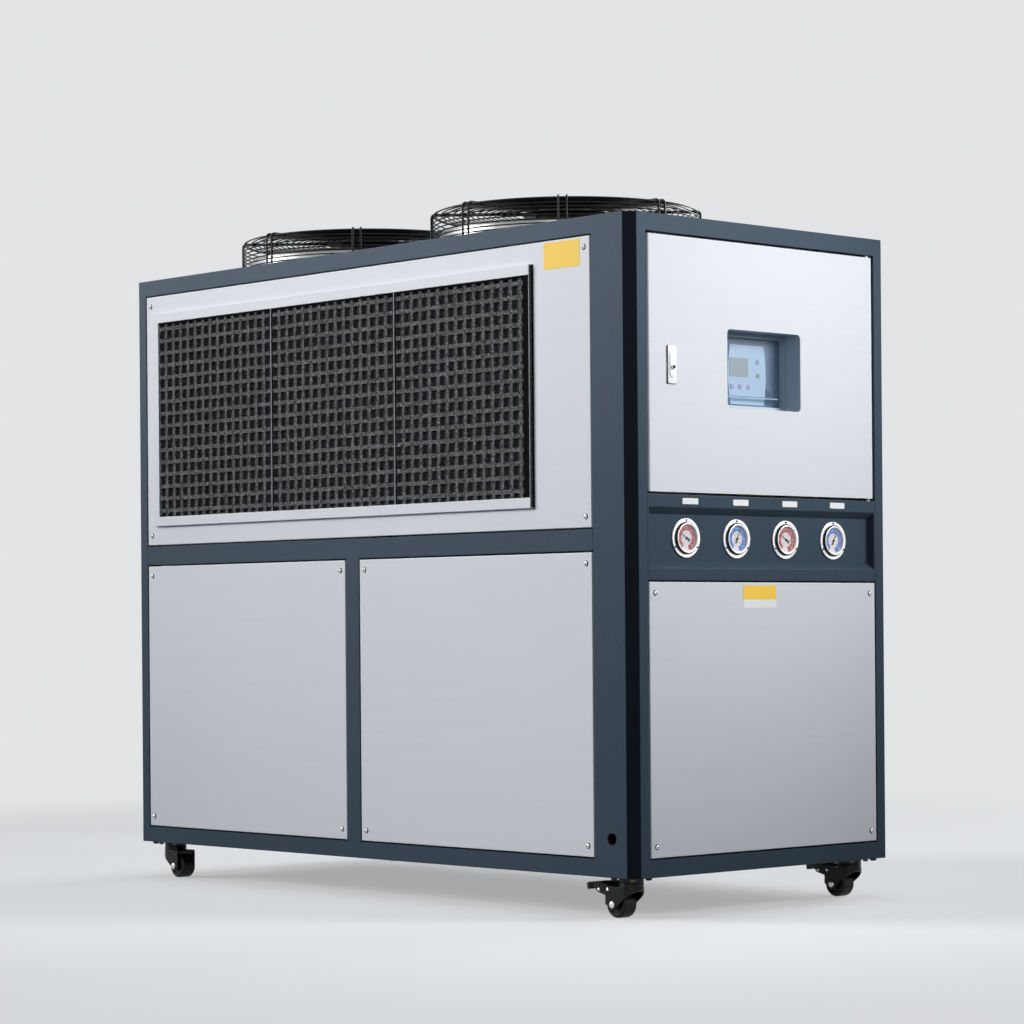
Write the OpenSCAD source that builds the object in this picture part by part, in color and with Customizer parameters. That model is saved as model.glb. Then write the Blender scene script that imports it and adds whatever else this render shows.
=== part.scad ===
// Air cooled water chiller: a framed cabinet on four casters, with two roof fans,
// slide-in filter screens along both long sides and a control door at one end.
// Origin at floor level under the middle of the cabinet, +X towards the control end,
// -Y towards the side with the cable inlet, +Z up. Heights inside the cabinet are
// measured from its underside, distances along it from the control end.

/* [Cabinet] */
// Length between the two end faces
cab_l = 1575; // [1540:5:1650]
// Width between the two long sides
cab_w = 736; // [700:2:790]
// Height from the underside to the roof
cab_h = 1250; // [1235:5:1320]
// Chamfer on the four upright corners
corner_cut = 19; // [8:1:26]
// Depth of the frame members behind the faces
frame_d = 30; // [27:1:34]
// Thickness of the folded sheet
sheet = 2; // [1:0.5:3]
// Depth of a panel's folded edges
panel_d = 16; // [12:1:20]
// Open joint between a panel and the frame
panel_gap = 3; // [1:0.5:4]
// Width of the lips that the panels seat on
lip_w = 14; // [10:1:18]
// Thickness of those lips
lip_t = 3; // [2:0.5:5]

/* [Frame] */
// Face width of the control end posts on the long sides
post_face = 104; // [90:1:120]
// Face width of the far end posts on the long sides
post_face_far = 44.5; // [40:0.5:60]
// Face width of all posts on the end faces
post_end = 43; // [38:1:50]
// Height of the base rail
base_rail_h = 33.5; // [28:0.5:45]
// Height of the roof rail
top_rail_h = 34; // [30:0.5:45]
// Underside of the middle rail
mid_rail_z = 616.5; // [600:0.5:640]
// Height of the middle rail
mid_rail_h = 41; // [34:1:50]
// Middle of the mullion between the lower panels
mullion_s = 816; // [760:2:860]
// Width of that mullion
mullion_w = 41; // [30:1:60]
// Middle of the cable inlet along the post
inlet_s = 58.5; // [50:0.5:66]
// Height of the cable inlet
inlet_z = 73.5; // [60:0.5:120]
// Radius of the cable inlet
inlet_r = 12.7; // [8:0.1:16]
// Height of the deck above the underside of the middle rail
deck_up = 10; // [6:1:20]

/* [Filters] */
// Distance of the filter window from the control end
filter_s = 268; // [240:2:300]
// Distance of the filter window from the far end
filter_far = 101; // [96:1:130]
// Distance of the filter window above the middle rail
filter_up = 65; // [58:0.5:80]
// Distance of the filter window below the roof rail
filter_down = 64; // [56:0.5:80]
// Height of the channel rails
rail_h = 20.5; // [15:0.5:26]
// How far the channel rails stand off the panel
rail_proud = 8; // [6:0.5:12]
// Thickness of the channel rails
rail_t = 1.5; // [1:0.25:2]
// Pitch of the screen lattice
lattice_pitch = 26.8; // [24:0.2:34]
// Width of the lattice bars
lattice_bar = 8.5; // [6:0.5:14]
// Solid border of a screen
screen_edge = 3; // [2:0.5:8]
// Thickness of the condenser coil
coil_d = 60; // [40:2:80]
// How far the coil reaches past the filter window
coil_lap = 18; // [10:1:20]

/* [Control end] */
// Underside of the gauge panel
gauge_panel_z = 559; // [540:1:580]
// Height of the gauge panel
gauge_panel_h = 162; // [150:1:170]
// Height of the recess at its mouth
recess_h = 115; // [105:1:122]
// Slope of the recess at top and bottom
recess_in = 13; // [6:1:16]
// Depth of the recess
recess_d = 14; // [10:1:18]
// Side wall of the recess
recess_wall = 4; // [3:0.5:8]
// Distance between gauges
gauge_pitch = 140; // [110:1:150]
// Diameter of the gauge flange
gauge_flange = 75; // [64:1:80]
// Diameter of the gauge case
gauge_case = 62; // [50:1:63]
// Length of the gauge case behind the flange
gauge_back = 38; // [25:1:60]
// Open joint round the door
door_gap = 5; // [4:0.5:6]
// Depth of the door
door_d = 20; // [18:1:22]
// Rounding of the door's upright edges
door_round = 4; // [2:0.5:5]
// Distance of the hinge axis from the door's front and edge
hinge_in = 8; // [7:0.5:9]
// Radius of the hinge pins
pin_r = 4; // [3:0.25:4.5]
// Length of the hinge pins beyond the door
pin_l = 18; // [14:1:24]
// Width of the window
window_w = 209; // [180:1:240]
// Height of the window
window_h = 151.5; // [130:0.5:180]
// Middle of the window above the underside
window_z = 967.5; // [940:0.5:990]
// Corner radius of the window
window_r = 9; // [5:0.5:14]
// Depth of the display recess up to its ledge
housing_d = 38; // [30:1:50]
// Width of the ledge
ledge_w = 9; // [5:0.5:12]
// Depth from the ledge to the controller
ledge_d = 10; // [6:1:16]
// Wall of the display housing
housing_t = 2.5; // [1.5:0.5:4]
// Middle of the latch from the door's opening edge
latch_in = 61; // [40:1:90]
// Middle of the latch above the underside
latch_z = 966.5; // [930:0.5:1000]
// Width of the latch
latch_w = 22.5; // [20:0.5:30]
// Height of the latch
latch_h = 72; // [60:0.5:90]
// How far the latch stands off the door
latch_t = 3.5; // [2.5:0.5:6]
// Depth of the electrical compartment
box_d = 180; // [140:5:190]

/* [Far end] */
// Radius of the water sockets' bore
socket_r = 20.5; // [15:0.5:24]
// Outer radius of the water sockets
socket_out = 29; // [27:0.5:33]
// Length of the water sockets
socket_l = 60; // [45:1:80]
// How far a socket stands off the panel
socket_proud = 8; // [6:0.5:12]
// Distance between the two water sockets
socket_pitch = 260; // [200:5:320]
// Height of the water sockets
socket_z = 300; // [240:5:420]
// Radius of the drain's bore
drain_r = 9; // [6:0.5:11]
// Outer radius of the drain
drain_out = 14; // [13:0.5:18]
// Height of the drain
drain_z = 110; // [80:5:160]

/* [Fans] */
// Distance between the two fans
fan_pitch = 640; // [610:2:680]
// Diameter over the guard
guard_d = 564; // [530:1:570]
// Height of the guard above the roof
guard_h = 84; // [74:1:90]
// Thickness of the ring wires
ring_wire = 3; // [2:0.25:4]
// Thickness of the spoke wires
spoke_wire = 4.5; // [4:0.25:6]
// Pitch of the rings on the guard's side
ring_pitch = 8; // [7:0.5:14]
// Pitch of the rings on the guard's top
top_pitch = 12.5; // [11.5:0.5:20]
// Number of spoke pairs
spoke_pairs = 8; // [6:1:8]
// Distance between the two wires of a pair
pair_gap = 17; // [12:1:24]
// Bend radius at the guard's shoulder
guard_bend = 8; // [7:0.5:14]
// Radius of the guard's middle plate
guard_plate = 92; // [84:1:100]
// Outer radius of the fan collar
collar_r = 261; // [250:1:264]
// Height of the collar above the roof
collar_up = 38; // [32:1:50]
// Depth of the collar below the roof
collar_down = 32; // [20:1:45]
// Tip radius of the fan blades
blade_r = 249; // [225:1:252]
// Number of fan blades
blade_n = 5; // [4:1:6]
// Pitch angle of the fan blades
blade_pitch = 24; // [18:1:26]
// Radius of the blade's camber
blade_camber = 260; // [220:5:360]
// Thickness of a fan blade
blade_t = 3; // [2:0.5:4]
// Radius of the turning motor can
can_r = 72; // [60:1:78]
// Length of the turning motor can
can_l = 92; // [80:1:100]
// Radius of the motor shaft
shaft_r = 8; // [6:0.5:12]

/* [Casters] */
// Height of the casters under the cabinet
caster_h = 80; // [78:1:90]
// Swivel axis in from the end faces
caster_in_x = 64.5; // [60:0.5:120]
// Swivel axis in from the long sides
caster_in_y = 56; // [50:1:80]
// Offset of the wheel axle from the swivel axis
trail = 26; // [24:1:28]
// Radius of the wheel
wheel_r = 26; // [22:0.5:26]
// Width of the wheel
wheel_w = 34; // [26:1:36]
// Radius of the axle
axle_r = 4; // [3:0.5:5]
// Thickness of the fork's sheet
fork_t = 2.5; // [2:0.5:4]
// Space between the wheel and each side of the fork
wheel_gap = 5; // [3:0.5:6]
// Length of the brake pedal from the swivel axis
pedal_l = 96; // [86:1:110]

/* [Hidden] */
$fn = 96;

// Running clearance of pins, shafts and axles
run_clear = 0.3;
// Clearance of a screen in its channel
slide_clear = 0.3;
// Overlap where wires are welded
weld = 0.8;
// Overshoot of a cut
cut = 1;

half_l = cab_l / 2;
half_w = cab_w / 2;
roof = caster_h + cab_h;
base_top = caster_h + base_rail_h;
rail_bot = caster_h + mid_rail_z;
rail_top = rail_bot + mid_rail_h;
top_bot = roof - top_rail_h;
inner_y = half_w - frame_d;
end_y = half_w - post_end;

mullion_x = half_l - mullion_s;
filter_right = half_l - filter_s;
filter_left = -half_l + filter_far;
filter_l = filter_right - filter_left;
filter_bot = rail_top + filter_up;
filter_top = top_bot - filter_down;
filter_h = filter_top - filter_bot;
slot_left = filter_left - rail_h + rail_t;
slot_bot = filter_bot - rail_h + rail_t;
slot_top = filter_top + rail_h - rail_t;
screen_t = rail_proud - rail_t - slide_clear;
screen_n = 3;
screen_pitch = filter_l / screen_n;
screen_w = screen_pitch - slide_clear;
screen_h = slot_top - slot_bot - 2 * slide_clear;

gauge_bot = caster_h + gauge_panel_z;
gauge_top = gauge_bot + gauge_panel_h;
gauge_mid = gauge_bot + gauge_panel_h / 2;
gauge_n = 4;
gauge_flange_t = 3;
gauge_bezel_t = 8;
gauge_taper = 2.5;
gauge_rim = 2;
gauge_dial_in = 5.5;
door_bot = gauge_top + door_gap;
door_top = top_bot - door_gap;
door_h = door_top - door_bot;
door_y = end_y - door_gap;
hinge_x = half_l - hinge_in;
hinge_y = door_y - hinge_in;
hinge_boss_r = pin_r + 2.5;
hinge_boss_l = 40;
pin_hole_r = pin_r + run_clear;
window_mid = caster_h + window_z;
ledge_x = half_l - housing_d;
face_x = ledge_x - ledge_d;
housing_lip = 12;
latch_mid = caster_h + latch_z;
latch_y = door_y - latch_in;
latch_r = 2.5;
latch_body_w = latch_w - 8;
latch_body_h = latch_h - 14;
latch_body_d = door_d - 2;
paddle_in_w = 7.5;
paddle_in_h = 22;
paddle_t = 1.5;
lock_r = 4.5;
lock_t = 3;
lock_drop = 4.5;
controller_d = 34;
overlay_w = 108;
overlay_t = 1.5;
overlay_bulge = 6;
overlay_up = 12.5;
overlay_down = 22.5;
box_x = half_l - frame_d - box_d;
board_in = 40;
duct = 40;
device_d = 55;
device_step = 15;

socket_flange = 9;
socket_flange_t = 4;

fan_back = 5;
fan_mid = (filter_left + filter_right) / 2 - fan_back;
spoke_r = guard_d / 2 - spoke_wire / 2;
ring_r = spoke_r - spoke_wire / 2 - ring_wire / 2 + weld;
top_ring_z = guard_h - spoke_wire - ring_wire + weld;
plate_t = 3;
plate_z = guard_h - spoke_wire - plate_t + weld;
flange_w = 16;
flange_t = 2;
flange_r = ring_r + ring_wire / 2 + spoke_wire + flange_w / 2;
motor_gap = 0.4;
stator_h = 22;
stator_r = can_r - 10;
can_top = plate_z - stator_h - motor_gap;
can_bot = can_top - can_l;
blade_drop = 36;
blade_mid = collar_up - blade_drop;
blade_sweep = 16;
blade_span_root = 24;
blade_span_tip = 25;

crown_top = caster_h - 20;
crown_t = 3;
race_r = 24;
race_h = 8;
caster_plate_l = 60;
caster_plate_w = 52;
caster_plate_t = 4;
kingpin_r = 5;
kingpin_l = caster_h - crown_top - caster_plate_t - 2;
fork_in = wheel_w / 2 + wheel_gap;
fork_out = fork_in + fork_t;
fork_rear = trail + 20;
fork_eye = axle_r + 8;
fork_short = trail + fork_eye;
skirt_drop = 5;
pedal_rise = 8;
pedal_lip = 8;
pedal_t = 4;
arm_drop = 17;
arm_l = 26;
axle_z = wheel_r;
axle_head = 3;
wheel_round = 6;
wheel_dish = 4;
wheel_hub = 6;

frame_color = [0.24, 0.29, 0.34];
panel_color = [0.80, 0.82, 0.84];
dark_color = [0.16, 0.16, 0.17];
wire_color = [0.08, 0.08, 0.09];
zinc_color = [0.78, 0.79, 0.78];
black_color = [0.05, 0.05, 0.05];
face_color = [0.68, 0.80, 0.90];

// Rectangle with round corners, centred
module round_rect(w, h, r) {
    square([w - 2 * r, h], center = true);
    square([w, h - 2 * r], center = true);
    for (x = [-1, 1], y = [-1, 1])
        translate([x * (w / 2 - r), y * (h / 2 - r)]) circle(r = r);
}

// Plan of the cabinet with its chamfered corners
module cabinet_plan() {
    polygon([
        [half_l - corner_cut, -half_w], [half_l, -half_w + corner_cut],
        [half_l, half_w - corner_cut], [half_l - corner_cut, half_w],
        [-half_l + corner_cut, half_w], [-half_l, half_w - corner_cut],
        [-half_l, -half_w + corner_cut], [-half_l + corner_cut, -half_w]
    ]);
}

// Draws on the rear long side what is made for the front one
module rear() {
    mirror([0, 1, 0]) children();
}

// Turns a flat drawing to stand on the control end face, extrusions running outwards
module on_control_end(z) {
    translate([half_l, 0, z]) rotate([90, 0, 90]) children();
}

module base_pan() {
    color(frame_color) difference() {
        translate([0, 0, caster_h]) linear_extrude(base_rail_h) cabinet_plan();
        translate([-half_l + frame_d, -inner_y, caster_h + sheet])
            cube([cab_l - 2 * frame_d, 2 * inner_y, base_rail_h]);
    }
}

// Folded post with a chamfered corner; x runs along the long side and y along the end face
module corner_post(face_w) {
    post_h = top_bot - base_top;
    color(frame_color) {
        linear_extrude(post_h) polygon([
            [corner_cut, 0], [face_w, 0], [face_w, frame_d], [frame_d, frame_d],
            [frame_d, post_end], [0, post_end], [0, corner_cut]
        ]);
        translate([face_w, panel_d, 0]) cube([lip_w, lip_t, rail_bot - base_top]);
        translate([face_w, panel_d, rail_top - base_top]) cube([lip_w, lip_t, top_bot - rail_top]);
    }
}

// Lip on a post for the panels of an end face
module end_lip(z_low, z_high) {
    color(frame_color) translate([panel_d, post_end, z_low - base_top])
        cube([lip_t, lip_w, z_high - z_low]);
}

module control_post() {
    translate([half_l, -half_w, base_top]) mirror([1, 0, 0]) {
        corner_post(post_face);
        end_lip(base_top, gauge_bot);
    }
}

module far_post() {
    translate([-half_l, -half_w, base_top]) {
        corner_post(post_face_far);
        end_lip(base_top, rail_bot);
        end_lip(rail_top, top_bot);
    }
}

module corner_post_front_right() {
    color(frame_color) difference() {
        control_post();
        translate([half_l - inlet_s, -half_w - cut, caster_h + inlet_z])
            rotate([-90, 0, 0]) cylinder(r = inlet_r, h = frame_d + 2 * cut);
    }
}

module corner_post_front_left() {
    far_post();
}

module corner_post_rear_right() {
    rear() control_post();
}

module corner_post_rear_left() {
    rear() far_post();
}

// Middle rail and mullion of a long side
module side_frame() {
    color(frame_color) {
        translate([-half_l + post_face_far, -half_w, rail_bot])
            cube([cab_l - post_face_far - post_face, frame_d, mid_rail_h]);
        translate([mullion_x - mullion_w / 2, -half_w, base_top])
            cube([mullion_w, frame_d, rail_bot - base_top]);
        translate([mullion_x - mullion_w / 2 - lip_w, -half_w + panel_d, base_top])
            cube([mullion_w + 2 * lip_w, lip_t, rail_bot - base_top]);
    }
}

module side_frame_front() {
    side_frame();
}

module side_frame_rear() {
    rear() side_frame();
}

module far_end_rail() {
    color(frame_color) translate([-half_l, -end_y, rail_bot])
        cube([frame_d, 2 * end_y, mid_rail_h]);
}

module top_cover() {
    color(frame_color) difference() {
        translate([0, 0, top_bot]) linear_extrude(top_rail_h) cabinet_plan();
        translate([-half_l + frame_d, -inner_y, top_bot - cut])
            cube([cab_l - 2 * frame_d, 2 * inner_y, top_rail_h - sheet + cut]);
        for (side = [-1, 1])
            translate([fan_mid + side * fan_pitch / 2, 0, top_bot])
                cylinder(r = collar_r + run_clear, h = top_rail_h + cut, $fn = 180);
        translate([hinge_x, hinge_y, top_bot - cut])
            cylinder(r = pin_hole_r, h = pin_l - door_gap + 2 * cut);
    }
}

module deck() {
    color(frame_color) translate([-half_l + frame_d, -inner_y, rail_bot + deck_up])
        cube([box_x + half_l - frame_d, 2 * inner_y, sheet]);
}

// Sheet panel with folded edges, its face on the plane y = 0
module pan(w, h) {
    difference() {
        cube([w, panel_d, h]);
        translate([sheet, sheet, sheet]) cube([w - 2 * sheet, panel_d, h - 2 * sheet]);
    }
}

module filter_panel() {
    left = -half_l + post_face_far + panel_gap;
    right = half_l - post_face - panel_gap;
    bot = rail_top + panel_gap;
    color(panel_color) difference() {
        translate([left, -half_w, bot]) pan(right - left, top_bot - panel_gap - bot);
        translate([filter_left, -half_w - cut, filter_bot])
            cube([filter_l, sheet + 2 * cut, filter_h]);
    }
}

module filter_panel_front() {
    filter_panel();
}

module filter_panel_rear() {
    rear() filter_panel();
}

// Channel rails above and below the screens, joined by a stop at the far end
module filter_rails() {
    front = -half_w - rail_proud;
    color(panel_color) difference() {
        translate([filter_left - rail_h, front, filter_bot - rail_h])
            cube([filter_l + rail_h, rail_proud, filter_h + 2 * rail_h]);
        translate([slot_left, front + rail_t, slot_bot])
            cube([filter_right - slot_left + cut, rail_proud, slot_top - slot_bot]);
        translate([filter_left, front - cut, filter_bot])
            cube([filter_l + cut, rail_proud, filter_h]);
    }
}

module filter_rails_front() {
    filter_rails();
}

module filter_rails_rear() {
    rear() filter_rails();
}

// Lattice of one screen, counted from the control end; the last one runs on into the stop
module filter_screen(i) {
    cols = floor((screen_w - 2 * screen_edge + lattice_bar) / lattice_pitch);
    rows = floor((screen_h - 2 * screen_edge + lattice_bar) / lattice_pitch);
    hole = lattice_pitch - lattice_bar;
    x_in = (screen_w - cols * lattice_pitch + lattice_bar) / 2 + hole;
    z_low = (screen_h - rows * lattice_pitch + lattice_bar) / 2;
    right = filter_right - i * screen_pitch;
    width = i == screen_n - 1 ? right - slot_left - slide_clear : screen_w;
    color(dark_color) translate([right, -half_w, slot_bot]) rotate([90, 0, 0])
        linear_extrude(screen_t) difference() {
            translate([-width, 0]) square([width, screen_h]);
            for (c = [0 : cols - 1], r = [0 : rows - 1])
                translate([-x_in - c * lattice_pitch, z_low + r * lattice_pitch]) square(hole);
        }
}

// Finned block behind a filter window
module condenser_coil() {
    color(zinc_color) translate([filter_left - coil_lap, -half_w + sheet, filter_bot - coil_lap])
        cube([filter_l + 2 * coil_lap, coil_d, filter_h + 2 * coil_lap]);
}

module condenser_coils() {
    condenser_coil();
    rear() condenser_coil();
}

module lower_panel(left, right) {
    bot = base_top + panel_gap;
    color(panel_color) translate([left, -half_w, bot])
        pan(right - left, rail_bot - panel_gap - bot);
}

module lower_panel_right() {
    lower_panel(mullion_x + mullion_w / 2 + panel_gap, half_l - post_face - panel_gap);
}

module lower_panel_left() {
    lower_panel(-half_l + post_face_far + panel_gap, mullion_x - mullion_w / 2 - panel_gap);
}

// Panel on an end face, its face towards +X before it is put in place
module end_pan(bot, top) {
    translate([0, -end_y + panel_gap, bot]) rotate([0, 0, 90])
        pan(2 * (end_y - panel_gap), top - bot);
}

module control_end_panel() {
    color(panel_color) translate([half_l, 0, 0])
        end_pan(base_top + panel_gap, gauge_bot - panel_gap);
}

// Rail with a sloped recess for the pressure gauges, folded hollow behind
module gauge_panel() {
    recess_y = end_y - recess_wall;
    color(frame_color) difference() {
        translate([half_l - frame_d, -end_y, gauge_bot]) cube([frame_d, 2 * end_y, gauge_panel_h]);
        translate([half_l, recess_y, gauge_mid]) rotate([90, 0, 0])
            linear_extrude(2 * recess_y) polygon([
                [cut, recess_h / 2], [0, recess_h / 2], [-recess_d, recess_h / 2 - recess_in],
                [-recess_d, -recess_h / 2 + recess_in], [0, -recess_h / 2], [cut, -recess_h / 2]
            ]);
        translate([half_l - frame_d - cut, -recess_y, gauge_mid - recess_h / 2 + recess_in])
            cube([frame_d - recess_d - sheet + cut, 2 * recess_y, recess_h - 2 * recess_in]);
        for (i = [0 : gauge_n - 1])
            translate([half_l - frame_d, (i - (gauge_n - 1) / 2) * gauge_pitch, gauge_mid])
                rotate([0, 90, 0]) cylinder(d = gauge_case + 2 * run_clear, h = frame_d);
        translate([hinge_x, hinge_y, gauge_top - pin_l + door_gap - cut])
            cylinder(r = pin_hole_r, h = pin_l + cut);
    }
}

// Gauge with a flat flange, a raised bezel and a dished dial
module pressure_gauge() {
    rotate([0, 90, 0]) rotate_extrude() polygon([
        [0, -gauge_back], [gauge_case / 2, -gauge_back], [gauge_case / 2, 0],
        [gauge_flange / 2, 0], [gauge_flange / 2, gauge_flange_t],
        [gauge_case / 2, gauge_flange_t], [gauge_case / 2, gauge_bezel_t - gauge_taper],
        [gauge_case / 2 - gauge_taper, gauge_bezel_t],
        [gauge_case / 2 - gauge_taper - gauge_rim, gauge_bezel_t],
        [gauge_case / 2 - gauge_dial_in, gauge_bezel_t - 1],
        [gauge_case / 2 - gauge_dial_in, gauge_flange_t], [0, gauge_flange_t]
    ]);
}

module pressure_gauges() {
    color(zinc_color) for (i = [0 : gauge_n - 1])
        translate([half_l - recess_d, (i - (gauge_n - 1) / 2) * gauge_pitch, gauge_mid])
            pressure_gauge();
}

module far_end_upper_panel() {
    color(panel_color) mirror([1, 0, 0]) translate([half_l, 0, 0])
        end_pan(rail_top + panel_gap, top_bot - panel_gap);
}

// Places the two water sockets and the drain on the far end face, axis outwards
module at_sockets() {
    for (side = [-1, 1])
        translate([-half_l, side * socket_pitch / 2, caster_h + socket_z])
            rotate([0, -90, 0]) children(0);
    translate([-half_l, 0, caster_h + drain_z]) rotate([0, -90, 0]) children(1);
}

module far_end_lower_panel() {
    color(panel_color) difference() {
        mirror([1, 0, 0]) translate([half_l, 0, 0])
            end_pan(base_top + panel_gap, rail_bot - panel_gap);
        at_sockets() {
            translate([0, 0, -panel_d]) cylinder(r = socket_out + run_clear, h = 2 * panel_d);
            translate([0, 0, -panel_d]) cylinder(r = drain_out + run_clear, h = 2 * panel_d);
        }
    }
}

// Threaded socket through the panel, with a flange against its face
module socket(bore, outer) {
    difference() {
        union() {
            translate([0, 0, socket_proud - socket_l]) cylinder(r = outer, h = socket_l);
            cylinder(r = outer + socket_flange, h = socket_flange_t);
        }
        translate([0, 0, socket_proud - socket_l - cut]) cylinder(r = bore, h = socket_l + 2 * cut);
    }
}

module water_sockets() {
    color(zinc_color) at_sockets() {
        socket(socket_r, socket_out);
        socket(drain_r, drain_out);
    }
}

// Open-fronted compartment behind the door
module electrical_box() {
    color(panel_color) difference() {
        translate([box_x, -inner_y, gauge_top]) cube([box_d, 2 * inner_y, top_bot - gauge_top]);
        translate([box_x + sheet, -inner_y + sheet, gauge_top + sheet])
            cube([box_d, 2 * (inner_y - sheet), top_bot - gauge_top - 2 * sheet]);
    }
}

// Back plate with wiring ducts, two rows of switching devices and a terminal row
module switchgear() {
    plate_w = 2 * (inner_y - board_in);
    plate_low = gauge_top + board_in;
    plate_h = top_bot - gauge_top - 2 * board_in;
    row_h = (plate_h - 4 * duct) / 3;
    x = box_x + sheet;
    color(panel_color) translate([x, -plate_w / 2, plate_low]) cube([sheet, plate_w, plate_h]);
    color(zinc_color) for (i = [0 : 3])
        translate([x + sheet, -plate_w / 2 + duct, plate_low + i * (row_h + duct)])
            cube([duct, plate_w - 2 * duct, duct]);
    color(dark_color) for (row = [0 : 2], i = [0 : 9 - row * 3]) {
        pitch = (plate_w - 2 * duct) / (10 - row * 3);
        translate([
            x + sheet, -plate_w / 2 + duct + (i + 0.04) * pitch,
            plate_low + duct + row * (row_h + duct) + row_h * 0.12
        ]) cube([device_d + row * device_step, pitch * 0.92, row_h * 0.76]);
    }
}

// Ring through the roof that the blades turn in
module fan_collar() {
    rotate_extrude($fn = 180) polygon([
        [collar_r - sheet, -collar_down], [collar_r, -collar_down], [collar_r, 0],
        [flange_r, 0], [flange_r, flange_t], [collar_r, flange_t], [collar_r, collar_up],
        [collar_r - sheet, collar_up]
    ]);
}

// Puts what is made for one fan on the roof, fan 1 nearer the control end
module at_fan(n) {
    translate([fan_mid + (n == 1 ? 1 : -1) * fan_pitch / 2, 0, roof]) children();
}

module fan_collars() {
    color(zinc_color) for (n = [1, 2]) at_fan(n) fan_collar();
}

module guard_ring(r, z) {
    rotate_extrude($fn = 180) translate([r - ring_wire / 2, z]) square(ring_wire);
}

// Wire up the side, round the shoulder and in to the middle plate
module guard_spoke() {
    bend_z = guard_h - spoke_wire / 2 - guard_bend;
    inner = guard_plate - 8;
    translate([spoke_r - spoke_wire / 2, -spoke_wire / 2, flange_t])
        cube([spoke_wire, spoke_wire, bend_z - flange_t]);
    translate([spoke_r - guard_bend, spoke_wire / 2, bend_z]) rotate([90, 0, 0])
        rotate_extrude(angle = 90) translate([guard_bend - spoke_wire / 2, 0]) square(spoke_wire);
    translate([inner, -spoke_wire / 2, guard_h - spoke_wire])
        cube([spoke_r - guard_bend - inner, spoke_wire, spoke_wire]);
}

// Welded wire guard: rings inside, pairs of spokes outside, a plate in the middle
module fan_guard() {
    shoulder = guard_bend - spoke_wire / 2 - ring_wire / 2 + weld;
    bend_z = guard_h - spoke_wire / 2 - guard_bend;
    side_n = floor((bend_z - flange_t) / ring_pitch);
    top_n = floor((spoke_r - guard_bend - guard_plate) / top_pitch);
    color(wire_color) {
        for (i = [0 : side_n]) guard_ring(ring_r, flange_t + i * ring_pitch);
        guard_ring(
            spoke_r - guard_bend + shoulder * cos(45),
            bend_z - ring_wire / 2 + shoulder * sin(45)
        );
        for (i = [0 : top_n - 1]) guard_ring(spoke_r - guard_bend - i * top_pitch, top_ring_z);
        translate([0, 0, plate_z]) cylinder(r = guard_plate, h = plate_t);
        for (i = [0 : spoke_pairs - 1], side = [-1, 1])
            rotate(i * 360 / spoke_pairs) translate([0, side * pair_gap / 2, 0]) guard_spoke();
    }
}

// Fixed half of the motor, under the guard's plate
module fan_motor() {
    color(dark_color) translate([0, 0, plate_z - stator_h]) difference() {
        cylinder(r = stator_r, h = stator_h);
        translate([0, 0, -cut]) cylinder(r = shaft_r + run_clear, h = stator_h - 2);
    }
}

module fan_motors() {
    for (n = [1, 2]) at_fan(n) fan_motor();
}

// Swept outline of a blade in plan
module blade_plan() {
    steps = 8;
    root = can_r - 4;
    r = [for (i = [0 : steps]) root + (blade_r - root) * i / steps];
    lead = [for (i = [0 : steps]) blade_span_root + blade_sweep * pow(i / steps, 2)];
    tail = [for (i = [0 : steps]) -blade_span_tip + blade_sweep * pow(i / steps, 2)];
    polygon(concat(
        [for (i = [0 : steps]) r[i] * [cos(lead[i]), sin(lead[i])]],
        [for (i = [steps : -1 : 0]) r[i] * [cos(tail[i]), sin(tail[i])]]
    ));
}

// Blade: its swept outline cut from a pitched, cambered sheet
module blade() {
    reach = 60;
    intersection() {
        translate([0, 0, -reach]) linear_extrude(2 * reach) blade_plan();
        rotate([blade_pitch, 0, 0]) translate([0, 0, -blade_camber]) rotate([0, 90, 0]) difference() {
            cylinder(r = blade_camber, h = blade_r + cut, $fn = 180);
            translate([0, 0, -cut])
                cylinder(r = blade_camber - blade_t, h = blade_r + 3 * cut, $fn = 180);
        }
        translate([0, 0, -reach]) cylinder(r = blade_r, h = 2 * reach, $fn = 180);
    }
}

// Turning half of the motor with its blades
module fan_rotor() {
    color(dark_color) {
        translate([0, 0, can_bot]) cylinder(r = can_r, h = can_l);
        translate([0, 0, can_top]) cylinder(r = shaft_r, h = stator_h - 6);
        for (i = [0 : blade_n - 1]) rotate(i * 360 / blade_n) translate([0, 0, blade_mid]) blade();
    }
}

// Door pan with rounded upright edges and pins for its hinge
module control_door() {
    hole_w = latch_body_w + 2 * run_clear;
    hole_h = latch_body_h + 2 * run_clear;
    color(panel_color) difference() {
        union() {
            difference() {
                translate([half_l - door_d, 0, door_bot]) linear_extrude(door_h) union() {
                    translate([0, -door_y]) square([door_d - door_round, 2 * door_y]);
                    translate([0, -door_y + door_round])
                        square([door_d, 2 * (door_y - door_round)]);
                    for (side = [-1, 1])
                        translate([door_d - door_round, side * (door_y - door_round)])
                            circle(r = door_round);
                }
                translate([half_l - door_d - cut, -door_y + door_round, door_bot + sheet])
                    cube([door_d - sheet + cut, 2 * (door_y - door_round), door_h - 2 * sheet]);
            }
            for (z = [door_bot, door_top - hinge_boss_l])
                translate([hinge_x, hinge_y, z]) cylinder(r = hinge_boss_r, h = hinge_boss_l);
            translate([hinge_x, hinge_y, door_bot - pin_l]) cylinder(r = pin_r, h = pin_l + cut);
            translate([hinge_x, hinge_y, door_top - cut]) cylinder(r = pin_r, h = pin_l + cut);
        }
        on_control_end(window_mid) translate([0, 0, -sheet - cut])
            linear_extrude(sheet + 2 * cut) round_rect(window_w, window_h, window_r);
        translate([half_l - sheet - cut, -latch_y - hole_w / 2, latch_mid - hole_h / 2])
            cube([sheet + 2 * cut, hole_w, hole_h]);
    }
}

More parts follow.
